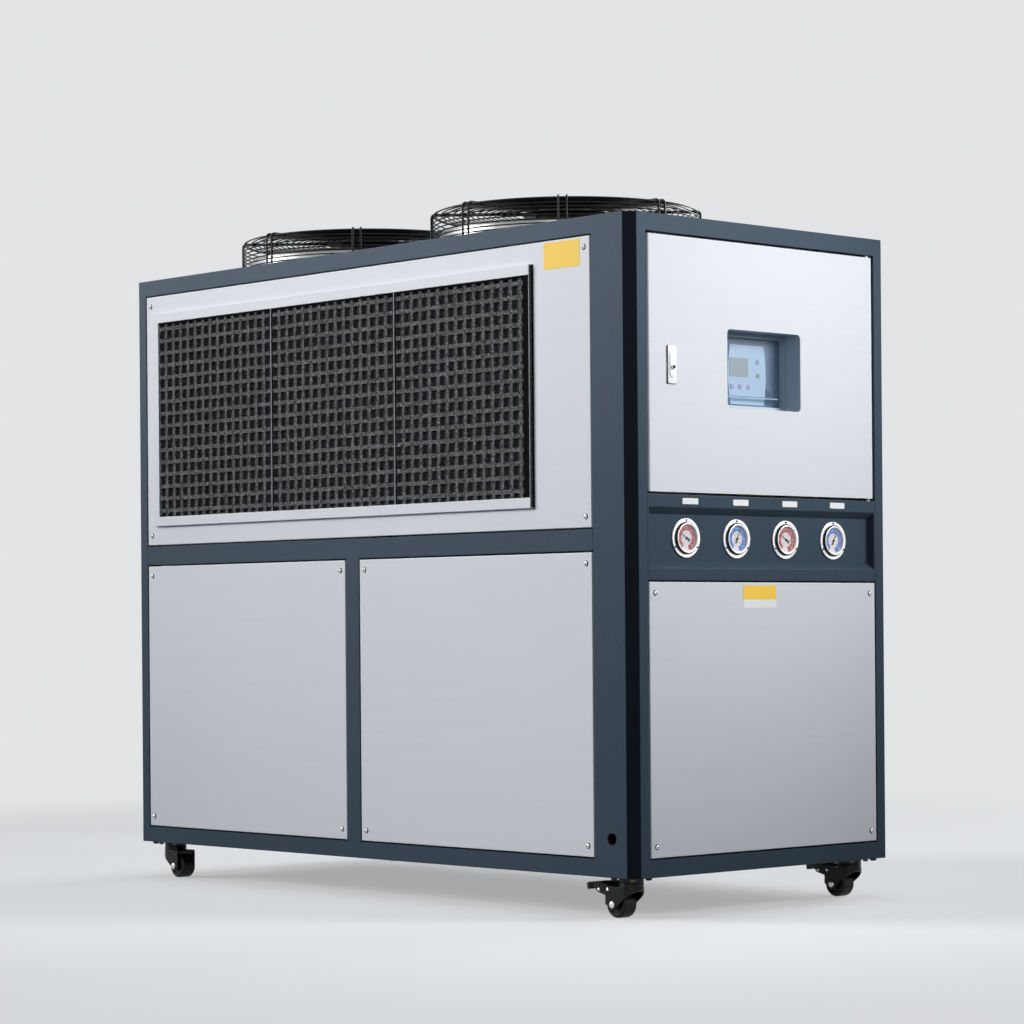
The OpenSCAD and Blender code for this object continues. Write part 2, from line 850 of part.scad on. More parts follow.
// Flush latch with a paddle and a lock, its body passing through the door
module door_latch() {
    paddle_w = latch_w - paddle_in_w;
    paddle_h = latch_h - paddle_in_h;
    color(panel_color) translate([0, -latch_y, 0]) on_control_end(latch_mid) {
        linear_extrude(latch_t) round_rect(latch_w, latch_h, latch_r);
        linear_extrude(latch_t + paddle_t) {
            square([paddle_w, paddle_h - paddle_w], center = true);
            for (side = [-1, 1])
                translate([0, side * (paddle_h - paddle_w) / 2]) circle(d = paddle_w);
        }
        translate([0, -lock_drop, latch_t]) cylinder(r = lock_r, h = paddle_t + lock_t);
        translate([-latch_body_w / 2, -latch_body_h / 2, -latch_body_d])
            cube([latch_body_w, latch_body_h, latch_body_d]);
    }
}

// Moulded recess behind the window, stepped in to the controller
module controller_housing() {
    inner_w = window_w - 2 * ledge_w;
    inner_h = window_h - 2 * ledge_w;
    inner_r = window_r / 2;
    outer_w = window_w + 2 * housing_t;
    outer_h = window_h + 2 * housing_t;
    outer_r = window_r + housing_t;
    color(frame_color) on_control_end(window_mid) {
        translate([0, 0, -sheet - housing_t]) linear_extrude(housing_t) difference() {
            round_rect(window_w + 2 * housing_lip, window_h + 2 * housing_lip, window_r);
            round_rect(window_w, window_h, window_r);
        }
        translate([0, 0, -housing_d]) linear_extrude(housing_d - sheet) difference() {
            round_rect(outer_w, outer_h, outer_r);
            round_rect(window_w, window_h, window_r);
        }
        translate([0, 0, -housing_d - housing_t]) linear_extrude(housing_t) difference() {
            round_rect(outer_w, outer_h, outer_r);
            round_rect(inner_w, inner_h, inner_r);
        }
        translate([0, 0, -housing_d - ledge_d]) linear_extrude(ledge_d) difference() {
            round_rect(inner_w + 2 * housing_t, inner_h + 2 * housing_t, inner_r + housing_t);
            round_rect(inner_w, inner_h, inner_r);
        }
    }
}

// Controller body closing the housing from behind, with a raised face whose sides bulge
module controller_face() {
    rim = 2 * housing_t;
    face_h = window_h - overlay_up - overlay_down;
    side_r = (face_h * face_h / 4 + overlay_bulge * overlay_bulge) / (2 * overlay_bulge);
    color(face_color) on_control_end(window_mid) translate([0, 0, -housing_d - ledge_d]) {
        translate([0, 0, -controller_d]) linear_extrude(controller_d)
            round_rect(window_w - 2 * ledge_w + rim, window_h - 2 * ledge_w + rim, window_r / 2);
        linear_extrude(overlay_t) intersection() {
            translate([-overlay_w / 2, -window_h / 2 + overlay_up]) square([overlay_w, face_h]);
            intersection_for(side = [-1, 1])
                translate([side * (side_r - overlay_w / 2), (overlay_up - overlay_down) / 2])
                    circle(r = side_r, $fn = 360);
        }
    }
}

// Clear cover on the ledge of the housing
module window_pane() {
    pane_t = 2;
    fit = 2 * run_clear;
    color([0.8, 0.9, 0.95, 0.35]) on_control_end(window_mid) translate([0, 0, -housing_d])
        linear_extrude(pane_t) round_rect(window_w - fit, window_h - fit, window_r - run_clear);
}

// Puts what is made for one caster at its swivel axis on the floor, the wheel towards the middle
module at_caster(x_side, y_side) {
    translate([x_side * (half_l - caster_in_x), y_side * (half_w - caster_in_y), 0])
        mirror([x_side > 0 ? 1 : 0, 0, 0]) children();
}

// Fixed plate with the upper half of the swivel bearing
module caster_plate() {
    race_low = crown_top + race_h + motor_gap;
    difference() {
        union() {
            translate([-caster_plate_l / 2, -caster_plate_w / 2, caster_h - caster_plate_t])
                cube([caster_plate_l, caster_plate_w, caster_plate_t]);
            translate([0, 0, race_low]) cylinder(r = race_r, h = caster_h - race_low);
        }
        translate([0, 0, race_low - cut])
            cylinder(r = kingpin_r + run_clear, h = crown_top + kingpin_l + 2 * cut - race_low);
    }
}

module caster_plates() {
    color(black_color) for (x = [-1, 1], y = [-1, 1]) at_caster(x, y) caster_plate();
}

// Outline of the fork in plan, round about the swivel axis in front
module fork_plan(half, rear) {
    circle(r = half);
    translate([0, -half]) square([rear, 2 * half]);
}

// Pressed side of the fork, rising from the axle to the front, open behind
module fork_skirt(rear) {
    low = axle_z - fork_eye;
    intersection() {
        translate([0, 0, low]) linear_extrude(crown_top - low) difference() {
            fork_plan(fork_out, rear);
            fork_plan(fork_in, rear + cut);
        }
        translate([0, fork_out + cut, 0]) rotate([90, 0, 0]) linear_extrude(2 * (fork_out + cut)) {
            polygon([
                [-fork_out - cut, crown_top], [-fork_out - cut, crown_top - skirt_drop],
                [trail - fork_eye / 2, axle_z - fork_eye / 2],
                [trail + fork_eye / 2, axle_z - fork_eye / 2],
                [rear, axle_z], [rear, crown_top]
            ]);
            translate([trail, axle_z]) circle(r = fork_eye);
        }
    }
}

// Brake pedal behind the wheel, bent down at its tip
module brake_pedal() {
    top = crown_top + pedal_rise;
    root = fork_rear - 2 * pedal_t;
    translate([0, fork_out, 0]) rotate([90, 0, 0]) linear_extrude(2 * fork_out) polygon([
        [root, crown_top - crown_t], [fork_rear + 2 * pedal_t, top - pedal_t],
        [pedal_l - 2 * pedal_t, top - 1.25 * pedal_t],
        [pedal_l - 1.5 * pedal_t, crown_top - pedal_lip],
        [pedal_l - 0.5 * pedal_t, crown_top - pedal_lip],
        [pedal_l, top - 1.25 * pedal_t], [pedal_l - 1.5 * pedal_t, top - 0.5 * pedal_t],
        [fork_rear + 3 * pedal_t, top], [root, crown_top]
    ]);
}

// Arm of the brake pedal, in line with the fork's side
module brake_arm() {
    rotate([90, 0, 0]) linear_extrude(fork_t) polygon([
        [fork_rear - 3 * pedal_t, crown_top], [fork_rear - 3 * pedal_t, crown_top - arm_drop],
        [fork_rear, crown_top - arm_drop], [fork_rear + 0.8 * arm_l, crown_top - 0.7 * arm_drop],
        [fork_rear + arm_l, crown_top - 0.4 * arm_drop],
        [fork_rear + 1.25 * arm_l, crown_top + pedal_rise - pedal_t],
        [fork_rear + 3 * pedal_t, crown_top + pedal_rise - 0.5 * pedal_t]
    ]);
}

// Swivel fork with kingpin and axle
module caster_fork(braked) {
    rear = braked ? fork_rear : fork_short;
    color(black_color) {
        translate([0, 0, crown_top - crown_t]) linear_extrude(crown_t) fork_plan(fork_out, rear);
        translate([0, 0, crown_top - crown_t]) cylinder(r = race_r, h = crown_t + race_h);
        translate([0, 0, crown_top]) cylinder(r = kingpin_r, h = kingpin_l);
        fork_skirt(rear);
        translate([trail, -fork_out - axle_head, axle_z]) rotate([-90, 0, 0])
            cylinder(r = axle_r, h = 2 * (fork_out + axle_head));
        for (side = [-1, 1])
            translate([trail, side * (fork_out + axle_head / 2), axle_z]) rotate([90, 0, 0])
                cylinder(r = axle_r + 2, h = axle_head, center = true, $fn = 6);
        if (braked) {
            brake_pedal();
            translate([0, -fork_in, 0]) brake_arm();
            translate([0, fork_out, 0]) brake_arm();
        }
    }
}

// Solid wheel with a rounded tread and dished sides
module caster_wheel() {
    half = wheel_w / 2;
    bore = axle_r + run_clear;
    color(black_color) translate([trail, 0, axle_z]) rotate([90, 0, 0]) rotate_extrude() difference() {
        union() {
            translate([bore, -half]) square([wheel_r - wheel_round - bore, wheel_w]);
            translate([bore, -half + wheel_round]) square([wheel_r - bore, wheel_w - 2 * wheel_round]);
            for (side = [-1, 1])
                translate([wheel_r - wheel_round, side * (half - wheel_round)]) circle(r = wheel_round);
        }
        for (side = [-1, 1])
            translate([axle_r + wheel_hub, side * half - wheel_dish])
                square([wheel_r - axle_r - wheel_hub - wheel_round - 2, 2 * wheel_dish]);
    }
}

base_pan();
corner_post_front_right();
corner_post_front_left();
corner_post_rear_right();
corner_post_rear_left();
side_frame_front();
side_frame_rear();
far_end_rail();
top_cover();
deck();
filter_panel_front();
filter_panel_rear();
filter_rails_front();
filter_rails_rear();
filter_screen(0);  // filter_screen_front_1
filter_screen(1);  // filter_screen_front_2
filter_screen(2);  // filter_screen_front_3
rear() filter_screen(0);  // filter_screen_rear_1
rear() filter_screen(1);  // filter_screen_rear_2
rear() filter_screen(2);  // filter_screen_rear_3
condenser_coils();
lower_panel_right();  // lower_panel_front_right
lower_panel_left();  // lower_panel_front_left
rear() lower_panel_right();  // lower_panel_rear_right
rear() lower_panel_left();  // lower_panel_rear_left
control_end_panel();
gauge_panel();
pressure_gauges();
far_end_upper_panel();
far_end_lower_panel();
water_sockets();
electrical_box();
switchgear();
fan_collars();
at_fan(1) fan_guard();  // fan_guard_1
at_fan(2) fan_guard();  // fan_guard_2
fan_motors();
at_fan(1) fan_rotor();  // fan_rotor_1
at_fan(2) fan_rotor();  // fan_rotor_2
control_door();
door_latch();
controller_housing();
controller_face();
window_pane();
caster_plates();
at_caster(1, -1) caster_fork(true);  // caster_fork_front_right
at_caster(-1, -1) caster_fork(false);  // caster_fork_front_left
at_caster(1, 1) caster_fork(true);  // caster_fork_rear_right
at_caster(-1, 1) caster_fork(false);  // caster_fork_rear_left
at_caster(1, -1) caster_wheel();  // caster_wheel_front_right
at_caster(-1, -1) caster_wheel();  // caster_wheel_front_left
at_caster(1, 1) caster_wheel();  // caster_wheel_rear_right
at_caster(-1, 1) caster_wheel();  // caster_wheel_rear_left
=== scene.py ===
"""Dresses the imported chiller: finishes, fasteners, gauges, guards, display, casters, light and camera."""
import math

import bmesh
import bpy
from mathutils import Matrix, Vector


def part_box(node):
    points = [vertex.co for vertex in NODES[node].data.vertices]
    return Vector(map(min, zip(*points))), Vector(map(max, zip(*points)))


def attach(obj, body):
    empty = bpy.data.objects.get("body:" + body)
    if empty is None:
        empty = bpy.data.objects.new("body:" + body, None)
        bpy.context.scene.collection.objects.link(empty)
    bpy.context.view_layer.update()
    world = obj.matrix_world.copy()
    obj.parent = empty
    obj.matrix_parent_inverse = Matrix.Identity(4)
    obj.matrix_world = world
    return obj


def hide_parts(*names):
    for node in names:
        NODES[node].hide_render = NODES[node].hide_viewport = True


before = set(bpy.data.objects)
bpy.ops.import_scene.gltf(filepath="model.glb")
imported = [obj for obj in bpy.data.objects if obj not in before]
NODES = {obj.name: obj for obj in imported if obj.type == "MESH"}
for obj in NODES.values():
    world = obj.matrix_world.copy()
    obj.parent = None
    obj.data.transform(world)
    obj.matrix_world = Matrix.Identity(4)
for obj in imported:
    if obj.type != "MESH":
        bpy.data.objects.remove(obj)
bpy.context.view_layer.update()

# Directions, units and limits
MM = 0.001
X, Y, Z = Vector((1, 0, 0)), Vector((0, 1, 0)), Vector((0, 0, 1))
FULL_TURN = math.tau
MERGE = 1e-6
ON_PLANE = 0.05 * MM
FLAT_ANGLE, EDGE_ANGLE, BLADE_EDGE_ANGLE = (math.radians(angle) for angle in (0.5, 25, 50))
NEARLY_ONE, SLANTED, FLAT_ON = 0.999, 0.5, 0.95
CORNER_STEPS, WIRE_SIDES = 6, 8

# Places read from the frame
END_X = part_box("base_pan")[1].x
SIDE_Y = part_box("base_pan")[1].y
ROOF_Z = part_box("top_cover")[1].z
BASE_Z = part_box("base_pan")[0].z
CORNERS = ("front_right", "front_left", "rear_right", "rear_left")
BRAKED = ("front_right", "rear_right")
SIDES = {"front": -Y, "rear": Y}
FANS = (1, 2)
SCREENS = (1, 2, 3)


# Shapes. A profile or size that is written in millimetres goes to turned() or block().

shift = Matrix.Translation


def turn_z(angle):
    return Matrix.Rotation(angle, 4, "Z")


def stand(origin, outward, up=Z):
    """Matrix that puts a shape made on the XY plane, facing +Z, on a face with that outward direction."""
    right = up.cross(outward)
    turn = Matrix((right, up, outward)).transposed().to_4x4()
    return shift(origin) @ turn


def end_seat(x, y, z):
    """Seat that faces the control end."""
    return stand(Vector((x, y, z)), X)


def clean(bm):
    """Merges doubled points and turns the faces outwards."""
    bmesh.ops.remove_doubles(bm, verts=bm.verts, dist=MERGE)
    bmesh.ops.recalc_face_normals(bm, faces=bm.faces)
    return bm


def turned(profile, steps, angle=FULL_TURN):
    """Spins a profile of (radius, height) points round Z; a part turn is closed at its two ends."""
    bm = bmesh.new()
    points = [bm.verts.new((r * MM, 0, z * MM)) for r, z in profile]
    lines = [bm.edges.new(pair) for pair in zip(points, points[1:])]
    part = angle < FULL_TURN
    if part:
        lines.append(bm.edges.new((points[-1], points[0])))
    bmesh.ops.spin(bm, geom=points + lines, axis=Z, cent=(0, 0, 0), angle=angle, steps=steps,
                   use_merge=not part, use_duplicate=False)
    if part:
        bmesh.ops.holes_fill(bm, edges=[e for e in bm.edges if e.is_boundary], sides=0)
    return clean(bm)


def bevel(bm, edges, width, segments, clamp=False):
    bmesh.ops.bevel(bm, geom=edges, offset=width, offset_type="OFFSET", segments=segments,
                    profile=0.5, affect="EDGES", clamp_overlap=clamp, material=-1)


def slab(size, edge=0.0, segments=2, corner=0.0):
    """Block standing on Z = 0, with round upright corners and softened upper edges."""
    bm = bmesh.new()
    bmesh.ops.create_cube(bm, size=1.0)
    bmesh.ops.translate(bm, verts=bm.verts, vec=(0, 0, 0.5))
    bmesh.ops.scale(bm, verts=bm.verts, vec=size)
    if corner:
        upright = [e for e in bm.edges if abs(e.verts[0].co.z - e.verts[1].co.z) > size[2] / 2]
        bevel(bm, upright, corner, CORNER_STEPS)
    if edge:
        upper = [e for e in bm.edges if min(v.co.z for v in e.verts) > size[2] * NEARLY_ONE]
        bevel(bm, upper, edge, segments)
    return bm


def block(size, edge=0.0, corner=0.0):
    """Slab with its sizes in millimetres."""
    return slab(tuple(s * MM for s in size), edge * MM, corner=corner * MM)


def ring(radius, wire, steps=96, sides=WIRE_SIDES):
    """Round wire bent to a ring about Z."""
    bm = bmesh.new()
    bmesh.ops.create_circle(bm, cap_ends=False, radius=wire / 2, segments=sides,
                            matrix=stand(Vector((radius, 0, 0)), Y))
    bmesh.ops.spin(bm, geom=bm.verts[:] + bm.edges[:], axis=Z, cent=(0, 0, 0), angle=FULL_TURN,
                   steps=steps, use_merge=True, use_duplicate=False)
    return clean(bm)


class Wire:
    """Round wire that runs straight and turns, starting at a point in a direction."""

    def __init__(self, start, along, side, diameter):
        self.bm = bmesh.new()
        bmesh.ops.create_circle(self.bm, cap_ends=True, radius=diameter / 2, segments=WIRE_SIDES,
                                matrix=stand(start, along, side))
        self.edges = self.bm.edges[:]

    def run(self, vector):
        made = bmesh.ops.extrude_edge_only(self.bm, edges=self.edges)["geom"]
        points = [g for g in made if isinstance(g, bmesh.types.BMVert)]
        bmesh.ops.translate(self.bm, verts=points, vec=vector)
        self.edges = [e for e in self.bm.edges if all(v in points for v in e.verts)]
        return self

    def turn(self, centre, axis, angle, steps):
        points = list({v for e in self.edges for v in e.verts})
        made = bmesh.ops.spin(self.bm, geom=points + self.edges, cent=centre, axis=axis, angle=angle,
                              steps=steps, use_merge=False, use_duplicate=False)["geom_last"]
        self.edges = [g for g in made if isinstance(g, bmesh.types.BMEdge)]
        return self

    def end(self):
        bmesh.ops.holes_fill(self.bm, edges=self.edges, sides=0)
        return clean(self.bm)


def add(target, source, *places):
    """Adds a copy of a shape to another at each place."""
    mesh = bpy.data.meshes.new("copy")
    for place in places or (Matrix.Identity(4),):
        source.to_mesh(mesh)
        mesh.transform(place)
        target.from_mesh(mesh)
    bpy.data.meshes.remove(mesh)
    return target


def placed(shape, *places):
    """A new shape made of copies of another."""
    return add(bmesh.new(), shape, *places)


def link(made):
    bpy.context.scene.collection.objects.link(made)


def piece(name, bm, finish, body="cabinet", replaces=(), smooth=None):
    """Makes an object of a shape, finishes it and rides it on a body."""
    mesh = bpy.data.meshes.new(name)
    bm.to_mesh(mesh)
    bm.free()
    if smooth is not None:
        mesh.shade_smooth()
        mesh.set_sharp_from_angle(angle=math.radians(smooth))
    for material in finish if isinstance(finish, list) else [finish]:
        mesh.materials.append(material)
    made = bpy.data.objects.new(name, mesh)
    link(made)
    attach(made, body)
    if replaces:
        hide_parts(*replaces)


def node_copy(node):
    """A merged copy of a CAD node's shape with its flat faces made whole."""
    bm = bmesh.new()
    bm.from_mesh(NODES[node].data)
    bmesh.ops.remove_doubles(bm, verts=bm.verts, dist=MERGE)
    bmesh.ops.dissolve_limit(bm, angle_limit=FLAT_ANGLE, verts=bm.verts, edges=bm.edges)
    for face in bm.faces:
        face.material_index = 0
    return bm


def runs_along(direction):
    return lambda e: abs((e.verts[1].co - e.verts[0].co).normalized().dot(direction)) > NEARLY_ONE


def lies_on(outward, distance):
    """Picks the edges on the plane that lies that far out in a direction."""
    return lambda e: all(abs(v.co.dot(outward) - distance) < ON_PLANE for v in e.verts)


def dress(name, node, finish, width, wanted=lambda e: True, body="cabinet", segments=3, smooth=None,
          least=EDGE_ANGLE, painted=None):
    """Shows a CAD node with the outer edges that wanted picks rounded to a width. The faces that painted
    picks get the second finish."""
    bm = node_copy(node)
    edges = [e for e in bm.edges if len(e.link_faces) == 2 and e.is_convex
             and e.calc_face_angle() > least and wanted(e)]
    bevel(bm, edges, width, segments, clamp=True)
    if painted:
        bm.normal_update()
        for face in bm.faces:
            if painted(face):
                face.material_index = 1
    piece(name, bm, finish, body, [node], smooth)


def refinish(node, finish):
    """Gives a CAD node that keeps its own shape a finish."""
    NODES[node].data.materials.clear()
    NODES[node].data.materials.append(finish)


# Finishes

def srgb(*channels):
    """Colour as seen on a screen, 0 to 255, turned into light."""
    light = [(c / 255 / 12.92) if c <= 10 else ((c / 255 + 0.055) / 1.055) ** 2.4 for c in channels]
    return (*light, 1.0)


class Nodes:
    """A shader node tree under construction."""

    def __init__(self, tree):
        self.tree = tree

    def put(self, node, values):
        """Sets each input to a value, or links it to another node's output."""
        for socket, value in values.items():
            if isinstance(value, bpy.types.NodeSocket):
                self.tree.links.new(value, node.inputs[socket])
            else:
                node.inputs[socket].default_value = value

    def node(self, kind, values=None, **settings):
        made = self.tree.nodes.new(kind)
        for setting, value in settings.items():
            setattr(made, setting, value)
        self.put(made, values or {})
        return made

    def reckon(self, operation, *values):
        return self.node("ShaderNodeMath", dict(enumerate(values)), operation=operation).outputs[0]

    def between(self, mask, low, high):
        """Colour that goes from low to high with a mask."""
        mix = self.node("ShaderNodeMix", {"Factor": mask, 6: low, 7: high}, data_type="RGBA")
        return mix.outputs[2]

    def span(self, mask, low, high):
        """Value that goes from low to high with a mask."""
        made = self.node("ShaderNodeMapRange", {"Value": mask, "To Min": low, "To Max": high})
        return made.outputs["Result"]


class Finish(Nodes):
    """A material under construction around its surface shader."""

    def __init__(self, name, color, roughness, metallic=0.0, specular=0.5, **sockets):
        self.material = bpy.data.materials.new(name)
        self.material.use_nodes = True
        super().__init__(self.material.node_tree)
        self.shader = self.tree.nodes["Principled BSDF"]
        self.surface(Base_Color=color, Roughness=roughness, Metallic=metallic,
                     Specular_IOR_Level=specular, **sockets)

    def group(self, tree, values):
        return self.node("ShaderNodeGroup", values, node_tree=tree).outputs

    def bump(self, height, depth):
        made = self.node("ShaderNodeBump", {"Height": height, "Distance": depth, "Strength": 1.0})
        self.surface(Normal=made.outputs["Normal"])

    def surface(self, **sockets):
        self.put(self.shader, {k.replace("_", " "): v for k, v in sockets.items()})
        return self.material


class Effect(Nodes):
    """A shader node group under construction, with named inputs and outputs."""

    def __init__(self, name, inputs, outputs):
        super().__init__(bpy.data.node_groups.new(name, "ShaderNodeTree"))
        socket = self.tree.interface.new_socket
        for label, value in inputs.items():
            socket(label, in_out="INPUT", socket_type="NodeSocketFloat").default_value = value
        for label in outputs:
            socket(label, in_out="OUTPUT", socket_type="NodeSocketFloat")
        self.given = self.node("NodeGroupInput").outputs
        self.result = self.node("NodeGroupOutput")
        self.place = self.node("ShaderNodeTexCoord").outputs["Object"]

    def noise(self, place, scale, detail):
        made = self.node("ShaderNodeTexNoise", {"Vector": place, "Scale": scale, "Detail": detail})
        return made.outputs["Fac"]

    def give(self, **outputs):
        self.put(self.result, outputs)
        return self.tree


def grain_effect():
    """Speckle and orange peel of a coating, with slow clouds of tone across it."""
    effect = Effect("coating_grain", {"Grain": 700.0, "Cloud": 3.0}, ("Speckle", "Peel", "Cloud"))
    fine = effect.noise(effect.place, effect.given["Grain"], 2.0)
    sharp = effect.node("ShaderNodeMapRange", {"Value": fine, "From Min": 0.32, "From Max": 0.68})
    peel_share = 0.45
    peel_scale = effect.reckon("MULTIPLY", effect.given["Grain"], peel_share)
    return effect.give(Speckle=sharp.outputs["Result"],
                       Peel=effect.noise(effect.place, peel_scale, 1.0),
                       Cloud=effect.noise(effect.place, effect.given["Cloud"], 3.0))


def drawn_effect():
    """Level lines left in sheet by rolling and brushing."""
    effect = Effect("drawn_lines", {"Lines": 900.0, "Length": 2.0}, ("Lines", "Streaks"))
    length = effect.given["Length"]
    made = {}
    for label, share in (("Lines", 1.0), ("Streaks", 0.12)):
        pitch = effect.reckon("MULTIPLY", effect.given["Lines"], share)
        stretch = effect.node("ShaderNodeCombineXYZ", {"X": length, "Y": length, "Z": pitch})
        drawn = effect.node("ShaderNodeVectorMath", {0: effect.place, 1: stretch.outputs[0]},
                            operation="MULTIPLY")
        made[label] = effect.noise(drawn.outputs[0], 1.0, 2.0)
    return effect.give(**made)


def weave_effect():
    """Fine square net: threads crossing along X and Z."""
    effect = Effect("net_weave", {"Pitch": 1.6 * MM}, ("Threads", "Columns"))
    split = effect.node("ShaderNodeSeparateXYZ", {"Vector": effect.place})
    waves = []
    for axis in ("X", "Z"):
        turns = effect.reckon("DIVIDE", split.outputs[axis], effect.given["Pitch"])
        waves.append(effect.reckon("COSINE", effect.reckon("MULTIPLY", turns, FULL_TURN)))
    return effect.give(Threads=effect.reckon("MAXIMUM", *waves), Columns=waves[0])


GRAIN = grain_effect()
DRAWN = drawn_effect()
WEAVE = weave_effect()
COAT_SPREAD = 0.06
STREAK_GAIN = 3.0


def coated(name, low, high, roughness, grain=900.0, peel=0.01, specular=0.5, **sockets):
    """Sprayed coating: speckled colour, slightly uneven gloss and orange peel so many millimetres deep."""
    low, high = srgb(*low), srgb(*high)
    finish = Finish(name, low, roughness, specular=specular, **sockets)
    effect = finish.group(GRAIN, {"Grain": grain})
    color = finish.between(finish.reckon("MULTIPLY", effect["Speckle"], effect["Cloud"]), low, high)
    gloss = finish.span(effect["Cloud"], roughness - COAT_SPREAD, roughness + COAT_SPREAD)
    finish.bump(effect["Peel"], peel * MM)
    return finish.surface(Base_Color=color, Roughness=gloss)


def drawn_sheet(name, low, high, roughness, metallic, depth, lines=900.0, gloss=0.07, specular=0.5):
    """Satin sheet with level lines in its colour and gloss, so many millimetres deep."""
    low, high = srgb(*low), srgb(*high)
    finish = Finish(name, low, roughness, metallic, specular)
    effect = finish.group(DRAWN, {"Lines": lines})
    cloud = finish.group(GRAIN, {"Grain": 1500.0, "Cloud": 2.0})
    mixed = finish.reckon("MULTIPLY", effect["Streaks"], cloud["Cloud"])
    color = finish.between(finish.span(mixed, 0.0, STREAK_GAIN), low, high)
    sheen = finish.span(effect["Lines"], roughness - gloss, roughness + gloss)
    finish.bump(effect["Lines"], depth * MM)
    return finish.surface(Base_Color=color, Roughness=sheen)


def clear_finish(name, tint, clear, rim):
    """Clear plastic or glass: see-through face on, glossy and denser at a slant."""
    finish = Finish(name, srgb(*tint), 0.04)
    slant = finish.node("ShaderNodeLayerWeight", {"Blend": 0.35})
    finish.surface(Alpha=finish.span(slant.outputs["Fresnel"], clear, rim))
    finish.material.surface_render_method = "BLENDED"
    return finish.material


FRAME_PAINT = coated("slate_frame_paint", (49, 62, 75), (69, 83, 97), 0.42, 800.0, 0.05, 0.10,
                     Specular_Tint=srgb(186, 220, 255))
# Near-black paint on the corner chamfers is painted shade: it stands in for the chamfers lying out of the
# light.
CHAMFER_PAINTED_SHADE = coated("chamfer_painted_shade", (18, 26, 35), (30, 39, 50), 0.45, 800.0, 0.05, 0.04)
PANEL_SHEET = drawn_sheet("satin_silver_panel", (210, 215, 222), (214, 219, 226), 0.42, 0.0, 0.003,
                          gloss=0.03, specular=0.22)
BLACK_WIRE = coated("black_guard_wire", (9, 8, 8), (20, 19, 18), 0.36, 900.0, 0.04, 0.15)
BLACK_STEEL = coated("black_caster_steel", (7, 7, 8), (16, 16, 17), 0.3, 900.0, 0.05, 0.22)
FAN_PAINT = coated("black_fan_paint", (18, 18, 19), (34, 34, 36), 0.45, 700.0, 0.06, 0.35)
RUBBER = coated("black_rubber", (8, 8, 8), (18, 18, 18), 0.5, 500.0, 0.1, 0.22)
BLACK_PLASTIC = coated("black_plastic", (12, 12, 13), (24, 24, 25), 0.5, 800.0, 0.04, 0.25)
# Flat black with almost no gloss, for the sheets at the filter screens that are painted shadow.
SHADOW_BLACK = coated("painted_shadow_black", (10, 10, 11), (22, 22, 24), 0.9, 600.0, 0.1, 0.03)
ZINC = drawn_sheet("bright_zinc", (205, 206, 204), (226, 226, 224), 0.30, 0.9, 0.02, 500.0)
FLANGE_METAL = drawn_sheet("gauge_flange_metal", (236, 236, 237), (244, 244, 245), 0.38, 0.4, 0.004)
YELLOW_ZINC = drawn_sheet("yellow_zinc", (96, 72, 42), (122, 94, 56), 0.4, 0.6, 0.01, 500.0)
STRIP_METAL = drawn_sheet("screen_strip_metal", (140, 147, 156), (156, 162, 170), 0.5, 0.0, 0.004,
                          specular=0.1)
BRASS = drawn_sheet("turned_brass", (196, 160, 84), (214, 182, 108), 0.28, 1.0, 0.01, 400.0)
HOUSING = coated("display_housing_plastic", (160, 177, 192), (176, 192, 206), 0.42, peel=0.03)
CONTROLLER = coated("controller_body_plastic", (70, 97, 126), (86, 113, 142), 0.42, peel=0.03)
OVERLAY = coated("overlay_blue", (152, 180, 208), (166, 192, 218), 0.40)
SCREEN_GREY = coated("display_grey", (138, 152, 160), (150, 163, 169), 0.25, 500.0, 0.005)
KEY_PURPLE = coated("key_purple", (132, 134, 184), (150, 150, 198), 0.4)
LAMP_GREEN = coated("lamp_green", (84, 140, 116), (104, 160, 136), 0.35)
LATCH_WHITE = coated("latch_white_plastic", (238, 241, 243), (246, 248, 249), 0.34)
YELLOW = coated("yellow_plate", (250, 206, 74), (254, 216, 94), 0.5, specular=0.2)
WHITE = coated("white_plate", (228, 230, 232), (240, 241, 242), 0.45)
DIAL_CARD = coated("dial_card", (226, 220, 224), (238, 234, 238), 0.5, peel=0.005)
DIAL_RED = coated("dial_red", (154, 24, 42), (176, 40, 58), 0.5, peel=0.005)
DIAL_BLUE = coated("dial_blue", (22, 96, 178), (40, 124, 204), 0.5, peel=0.005)
DUCT_GREY = coated("duct_grey", (150, 154, 158), (170, 174, 177), 0.55, 700.0, 0.03)
DEVICE_GREY = coated("device_grey", (192, 194, 192), (208, 210, 208), 0.45, 800.0, 0.03)
CLEAR = clear_finish("clear_cover_sheet", (150, 182, 212), 0.01, 0.07)
GLASS = clear_finish("gauge_glass", (235, 240, 244), 0.01, 0.10)


# Frame and panels

POST_EDGE, RAIL_EDGE, BASE_EDGE, ROOF_EDGE, GAUGE_EDGE = (
    width * MM for width in (0.8, 0.6, 1.2, 1.5, 1.0))
PANEL_EDGE, FILTER_RAIL_EDGE = 1.5 * MM, 0.8 * MM
PANELS = {
    "filter_panel_front": -Y, "filter_panel_rear": Y,
    "lower_panel_front_right": -Y, "lower_panel_front_left": -Y,
    "lower_panel_rear_right": Y, "lower_panel_rear_left": Y,
    "control_end_panel": X, "far_end_upper_panel": -X, "far_end_lower_panel": -X,
}
SCREW_IN, SCREW_UP = 15.5 * MM, 21 * MM
SCREW_WASHER = ((0, 0), (5.6, 0), (5.4, 0.6), (4.4, 1.1), (0, 1.1))
SCREW_HEAD = ((0, 0.6), (4.0, 0.6), (4.0, 1.6), (3.2, 2.5), (1.9, 2.8), (1.7, 1.7), (0, 1.7))
